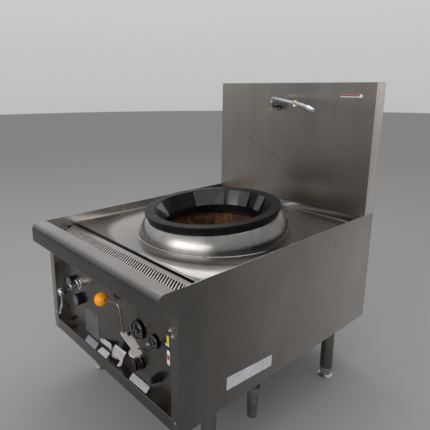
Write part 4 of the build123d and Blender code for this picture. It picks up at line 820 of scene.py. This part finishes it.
def tap_bib():
    """The tap: hexagon flange, sleeve and neck, dropping a little from the panel to its round bonnet."""
    x = -178.0
    root, tip = Vector((x, PANEL_Y, 180.0)), Vector((x, -36.0, 168.0))
    nut, sleeve, washer_foot, bonnet_foot = 9.0, 20.0, 43.0, 53.0
    away = (tip - root).normalized()
    mesh = bmesh.new()
    drum(mesh, (x, PANEL_Y, 177.0), TO_FRONT, 17.0, 2.0, edge=0.8)
    hexagon(mesh, root, away, 25.0, nut)
    drum(mesh, root + away * nut, away, 9.5, sleeve, edge=1.0)
    drum(mesh, root + away * (nut + sleeve), away, 6.5, washer_foot - nut - sleeve)
    drum(mesh, root + away * bonnet_foot, away, 11.0, 11.0, edge=3.0)
    made = piece("tap_bib", mesh, chrome, "cabinet")
    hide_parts("tap_body")
    ring = bmesh.new()
    drum(ring, root + away * washer_foot, away, 10.5, bonnet_foot - washer_foot, edge=1.5)
    washer = piece("tap_washer", ring, rubber, "cabinet")
    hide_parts("tap_ring")


def out_of_panel(x, z):
    """A frame on the panel's face whose z axis points to the front."""
    return Matrix.Translation(at(x, PANEL_Y, z)) @ Matrix.Rotation(math.radians(90.0), 4, "X")


def dished_wheel(name, body, node, x, z, radius, reach, gap, cap):
    """A handwheel: thin pressed dish with a rolled rim and bright turned lines, on a plated spindle.

    gap is how far the dish stands off the panel and reach how far the spindle comes out of it."""
    hub, hub_rise = 3.4, 5.0
    cap_depth, button_depth = 4.0, 2.0
    rim = [(radius - 4.2, 3.0), (radius - 3.2, 4.8), (radius - 1.2, 5.4), (radius, 4.2), (radius, 2.4),
           (radius - 1.2, 1.2), (radius - 4.0, 0.6)]
    profile = [(hub, 0.0), (hub, hub_rise), (6.2, hub_rise), (6.8, 2.6), (radius * 0.62, 2.2), *rim,
               (hub, 0.0)]
    outward = out_of_panel(x, z)
    mesh = bmesh.new()
    spun(mesh, [(r, gap + rise) for r, rise in profile], outward, steps=64)
    bmesh.ops.remove_doubles(mesh, verts=mesh.verts[:], dist=TOUCHING)
    tip = PANEL_Y - reach
    if cap:
        drum(mesh, (x, tip + cap_depth, z), TO_FRONT, 5.0, cap_depth, edge=1.0)
    made = piece(name, mesh, black_plastic, body)
    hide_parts(node)
    metal = bmesh.new()
    drum(metal, (x, PANEL_Y, z), TO_FRONT, 6.6, gap)
    spindle = reach - gap - (cap_depth if cap else 1.6)
    drum(metal, (x, PANEL_Y - gap + 0.5, z), TO_FRONT, 3.8, spindle)
    if not cap:
        drum(metal, (x, tip + 2.2, z), TO_FRONT, 5.2, button_depth, edge=0.5)
    for ring, rise in ((radius - 1.6, 5.2), (radius * 0.68, 2.4), (radius * 0.46, 2.5)):
        line = [(ring - 0.45, rise), (ring - 0.3, rise + 0.5), (ring + 0.3, rise + 0.5),
                (ring + 0.45, rise)]
        spun(metal, [(r, gap + height) for r, height in line], outward, steps=56)
    piece(name + "_metal", metal, chrome, body)


def plain_knob(name, body, node, x, z):
    """A black water knob with a grey face let into its front."""
    skirt_y, grip_y, face_y = PANEL_Y - 1.0, PANEL_Y - 5.0, PANEL_Y - 15.1
    mesh = bmesh.new()
    drum(mesh, (x, skirt_y, z), TO_FRONT, 16.0, 5.0, top_radius=15.6, edge=0.6)
    drum(mesh, (x, grip_y, z), TO_FRONT, 17.2, 10.6, top_radius=16.8, edge=1.2)
    made = piece(name + "_grip", mesh, black_plastic, body)
    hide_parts(node)
    face = bmesh.new()
    drum(face, (x, face_y, z), TO_FRONT, 14.6, 0.8, edge=0.4)
    piece(name + "_face", face, grey_face, body)


def red_mark():
    """The red mark let into the rim of the gas knob's face."""
    start, sweep = math.radians(172.0), math.radians(104.0)
    section = [(12.6, 7.0), (12.6, 13.0), (16.2, 13.0), (16.3, 7.0)]
    mesh = bmesh.new()
    face = out_of_panel(126.0, 79.0) @ Matrix.Rotation(start, 4, "Z")
    spun(mesh, section, face, steps=14, angle=sweep)
    piece("knob_mark", mesh, red_plastic, "gas_knob")


# ---- the pieces, in place ----
pressed_worktop()
slotted_strainer()
spun_skirt()
panel_edges()
pad_faces()
pipe_ring()
deck_step()
thin_rod()
swivel_arms()
cabinet_screws()
flange_bolts()
panel_fittings()
arm_plate()
tap_bib()
dished_wheel("large_dish", "large_wheel", "handwheel_large", x=121.0, z=167.0, radius=24.5,
             reach=31.0, gap=1.8, cap=True)
dished_wheel("small_dish", "small_wheel", "handwheel_small", x=183.5, z=164.5, radius=17.5,
             reach=21.0, gap=1.2, cap=False)
red_mark()
crumpled_tag()
plain_knob("upper_water_knob", "upper_knob", "upper_knob", x=-211.0, z=174.0)
plain_knob("lower_water_knob", "lower_knob", "lower_knob", x=-175.0, z=131.5)

# name, corners, way it faces, finish, then thickness and corner radius where they differ
labels = (
    ("rating_plate", on_panel((-148.6, 122.0), (-148.6, 40.0), (-74.6, 40.0), (-74.6, 120.0)),
     TO_FRONT, grey_label, 0.6, 3.0),
    ("ledge_label_left", on_ledge((-134.8, 25.6), (-76.0, 25.6), (-57.5, 3.4), (-114.0, 3.4)),
     UP, blue_label),
    ("ledge_label_middle", on_ledge((-55.0, 24.4), (-15.0, 25.4), (-2.0, 4.8), (-48.0, 4.4)),
     UP, white_label),
    ("ledge_label_right", on_ledge((91.7, 26.0), (163.3, 26.0), (176.0, 5.6), (105.5, 4.7)),
     UP, white_label),
    ("side_label", on_side((147.0, 77.0), (146.0, 43.0), (311.5, 33.0), (312.5, 63.5)),
     TO_RIGHT, white_label, 0.25, 1.5),
    ("yellow_tag", upright(228.5, 236.8, 182.0, 203.0), TO_FRONT, yellow_label, 0.3, 0.8),
    ("yellow_tag_foot", upright(223.5, 237.0, 177.0, 181.5), TO_FRONT, white_label, 0.3, 0.8),
    ("narrow_label", upright(229.0, 239.0, 131.0, 167.0), TO_FRONT, white_label, 0.3, 3.0),
    ("narrow_label_patch", upright(229.8, 238.2, 143.0, 156.0), TO_FRONT, red_label, 0.45, 3.0),
    ("badge_strip", upright(191.0, 252.0, 694.0, 701.5, SPLASH_Y), TO_FRONT, white_label, 0.4, 1.0),
    ("badge_line", upright(191.5, 251.5, 697.0, 701.0, SPLASH_Y), TO_FRONT, red_label, 0.6, 0.6),
)
for label in labels:
    flat_label(*label)
badge_end = bmesh.new()
drum(badge_end, (255.5, SPLASH_Y, 698.5), TO_FRONT, 5.0, 0.7)
piece("badge_end", badge_end, white_label, "cabinet")


# ---- stage, light and camera ----
def stage_floor():
    """A plain, wide, round floor."""
    mesh = bmesh.new()
    bmesh.ops.create_circle(mesh, cap_ends=True, segments=96, radius=14.0)
    data = bpy.data.meshes.new("floor")
    mesh.to_mesh(data)
    mesh.free()
    floor = bpy.data.objects.new("floor", data)
    bpy.context.scene.collection.objects.link(floor)
    data.materials.append(new_finish("pale_floor", (0.3, 0.3, 0.3), 0.75, 0.0)[0])


def soft_box(name, place, target, width, height, power):
    """A large soft lamp aimed at a point."""
    lamp = bpy.data.lights.new(name, "AREA")
    lamp.shape = "RECTANGLE"
    lamp.size = width
    lamp.size_y = height
    lamp.energy = power
    holder = bpy.data.objects.new(name, lamp)
    holder.location = place
    holder.rotation_euler = (Vector(target) - Vector(place)).to_track_quat("-Z", "Y").to_euler()
    bpy.context.scene.collection.objects.link(holder)


def room_light():
    """An even grey room, a little darker toward the floor."""
    world = bpy.data.worlds.new("room")
    world.use_nodes = True
    tree = world.node_tree
    background = tree.nodes["Background"]
    where = tree.nodes.new("ShaderNodeTexCoord")
    split = tree.nodes.new("ShaderNodeSeparateXYZ")
    tree.links.new(where.outputs["Generated"], split.inputs[0])
    sky = ramp(tree, spread(tree, split.outputs["Z"], 0.0, 1.0, -0.1, 1.0),
               [(0.0, (0.5, 0.5, 0.5)), (0.3, (0.62, 0.62, 0.63)), (1.0, (0.62, 0.62, 0.62))])
    tree.links.new(sky, background.inputs["Color"])
    background.inputs["Strength"].default_value = 1.0
    bpy.context.scene.world = world


stage_floor()
room_light()
soft_box("over", place=(-0.4, 0.6, 3.0), target=(0.0, 0.0, 0.5), width=2.6, height=1.6, power=30.0)
soft_box("front", place=(0.5, -3.6, 2.0), target=(0.0, -0.2, 0.5), width=4.0, height=2.0, power=80.0)

# the lens, shift, place and turn are solved from the cabinet's straight edges
lens = bpy.data.cameras.new("camera")
lens.sensor_width = 36.0
lens.lens = 36.542
lens.shift_x = 0.0846
lens.shift_y = -0.0569
camera = bpy.data.objects.new("camera", lens)
camera.location = (0.8994, -0.8701, 0.9233)
camera.rotation_euler = (1.329953, 0.007944, 0.868215)
bpy.context.scene.collection.objects.link(camera)
bpy.context.scene.camera = camera
bpy.context.scene.view_settings.view_transform = "Standard"
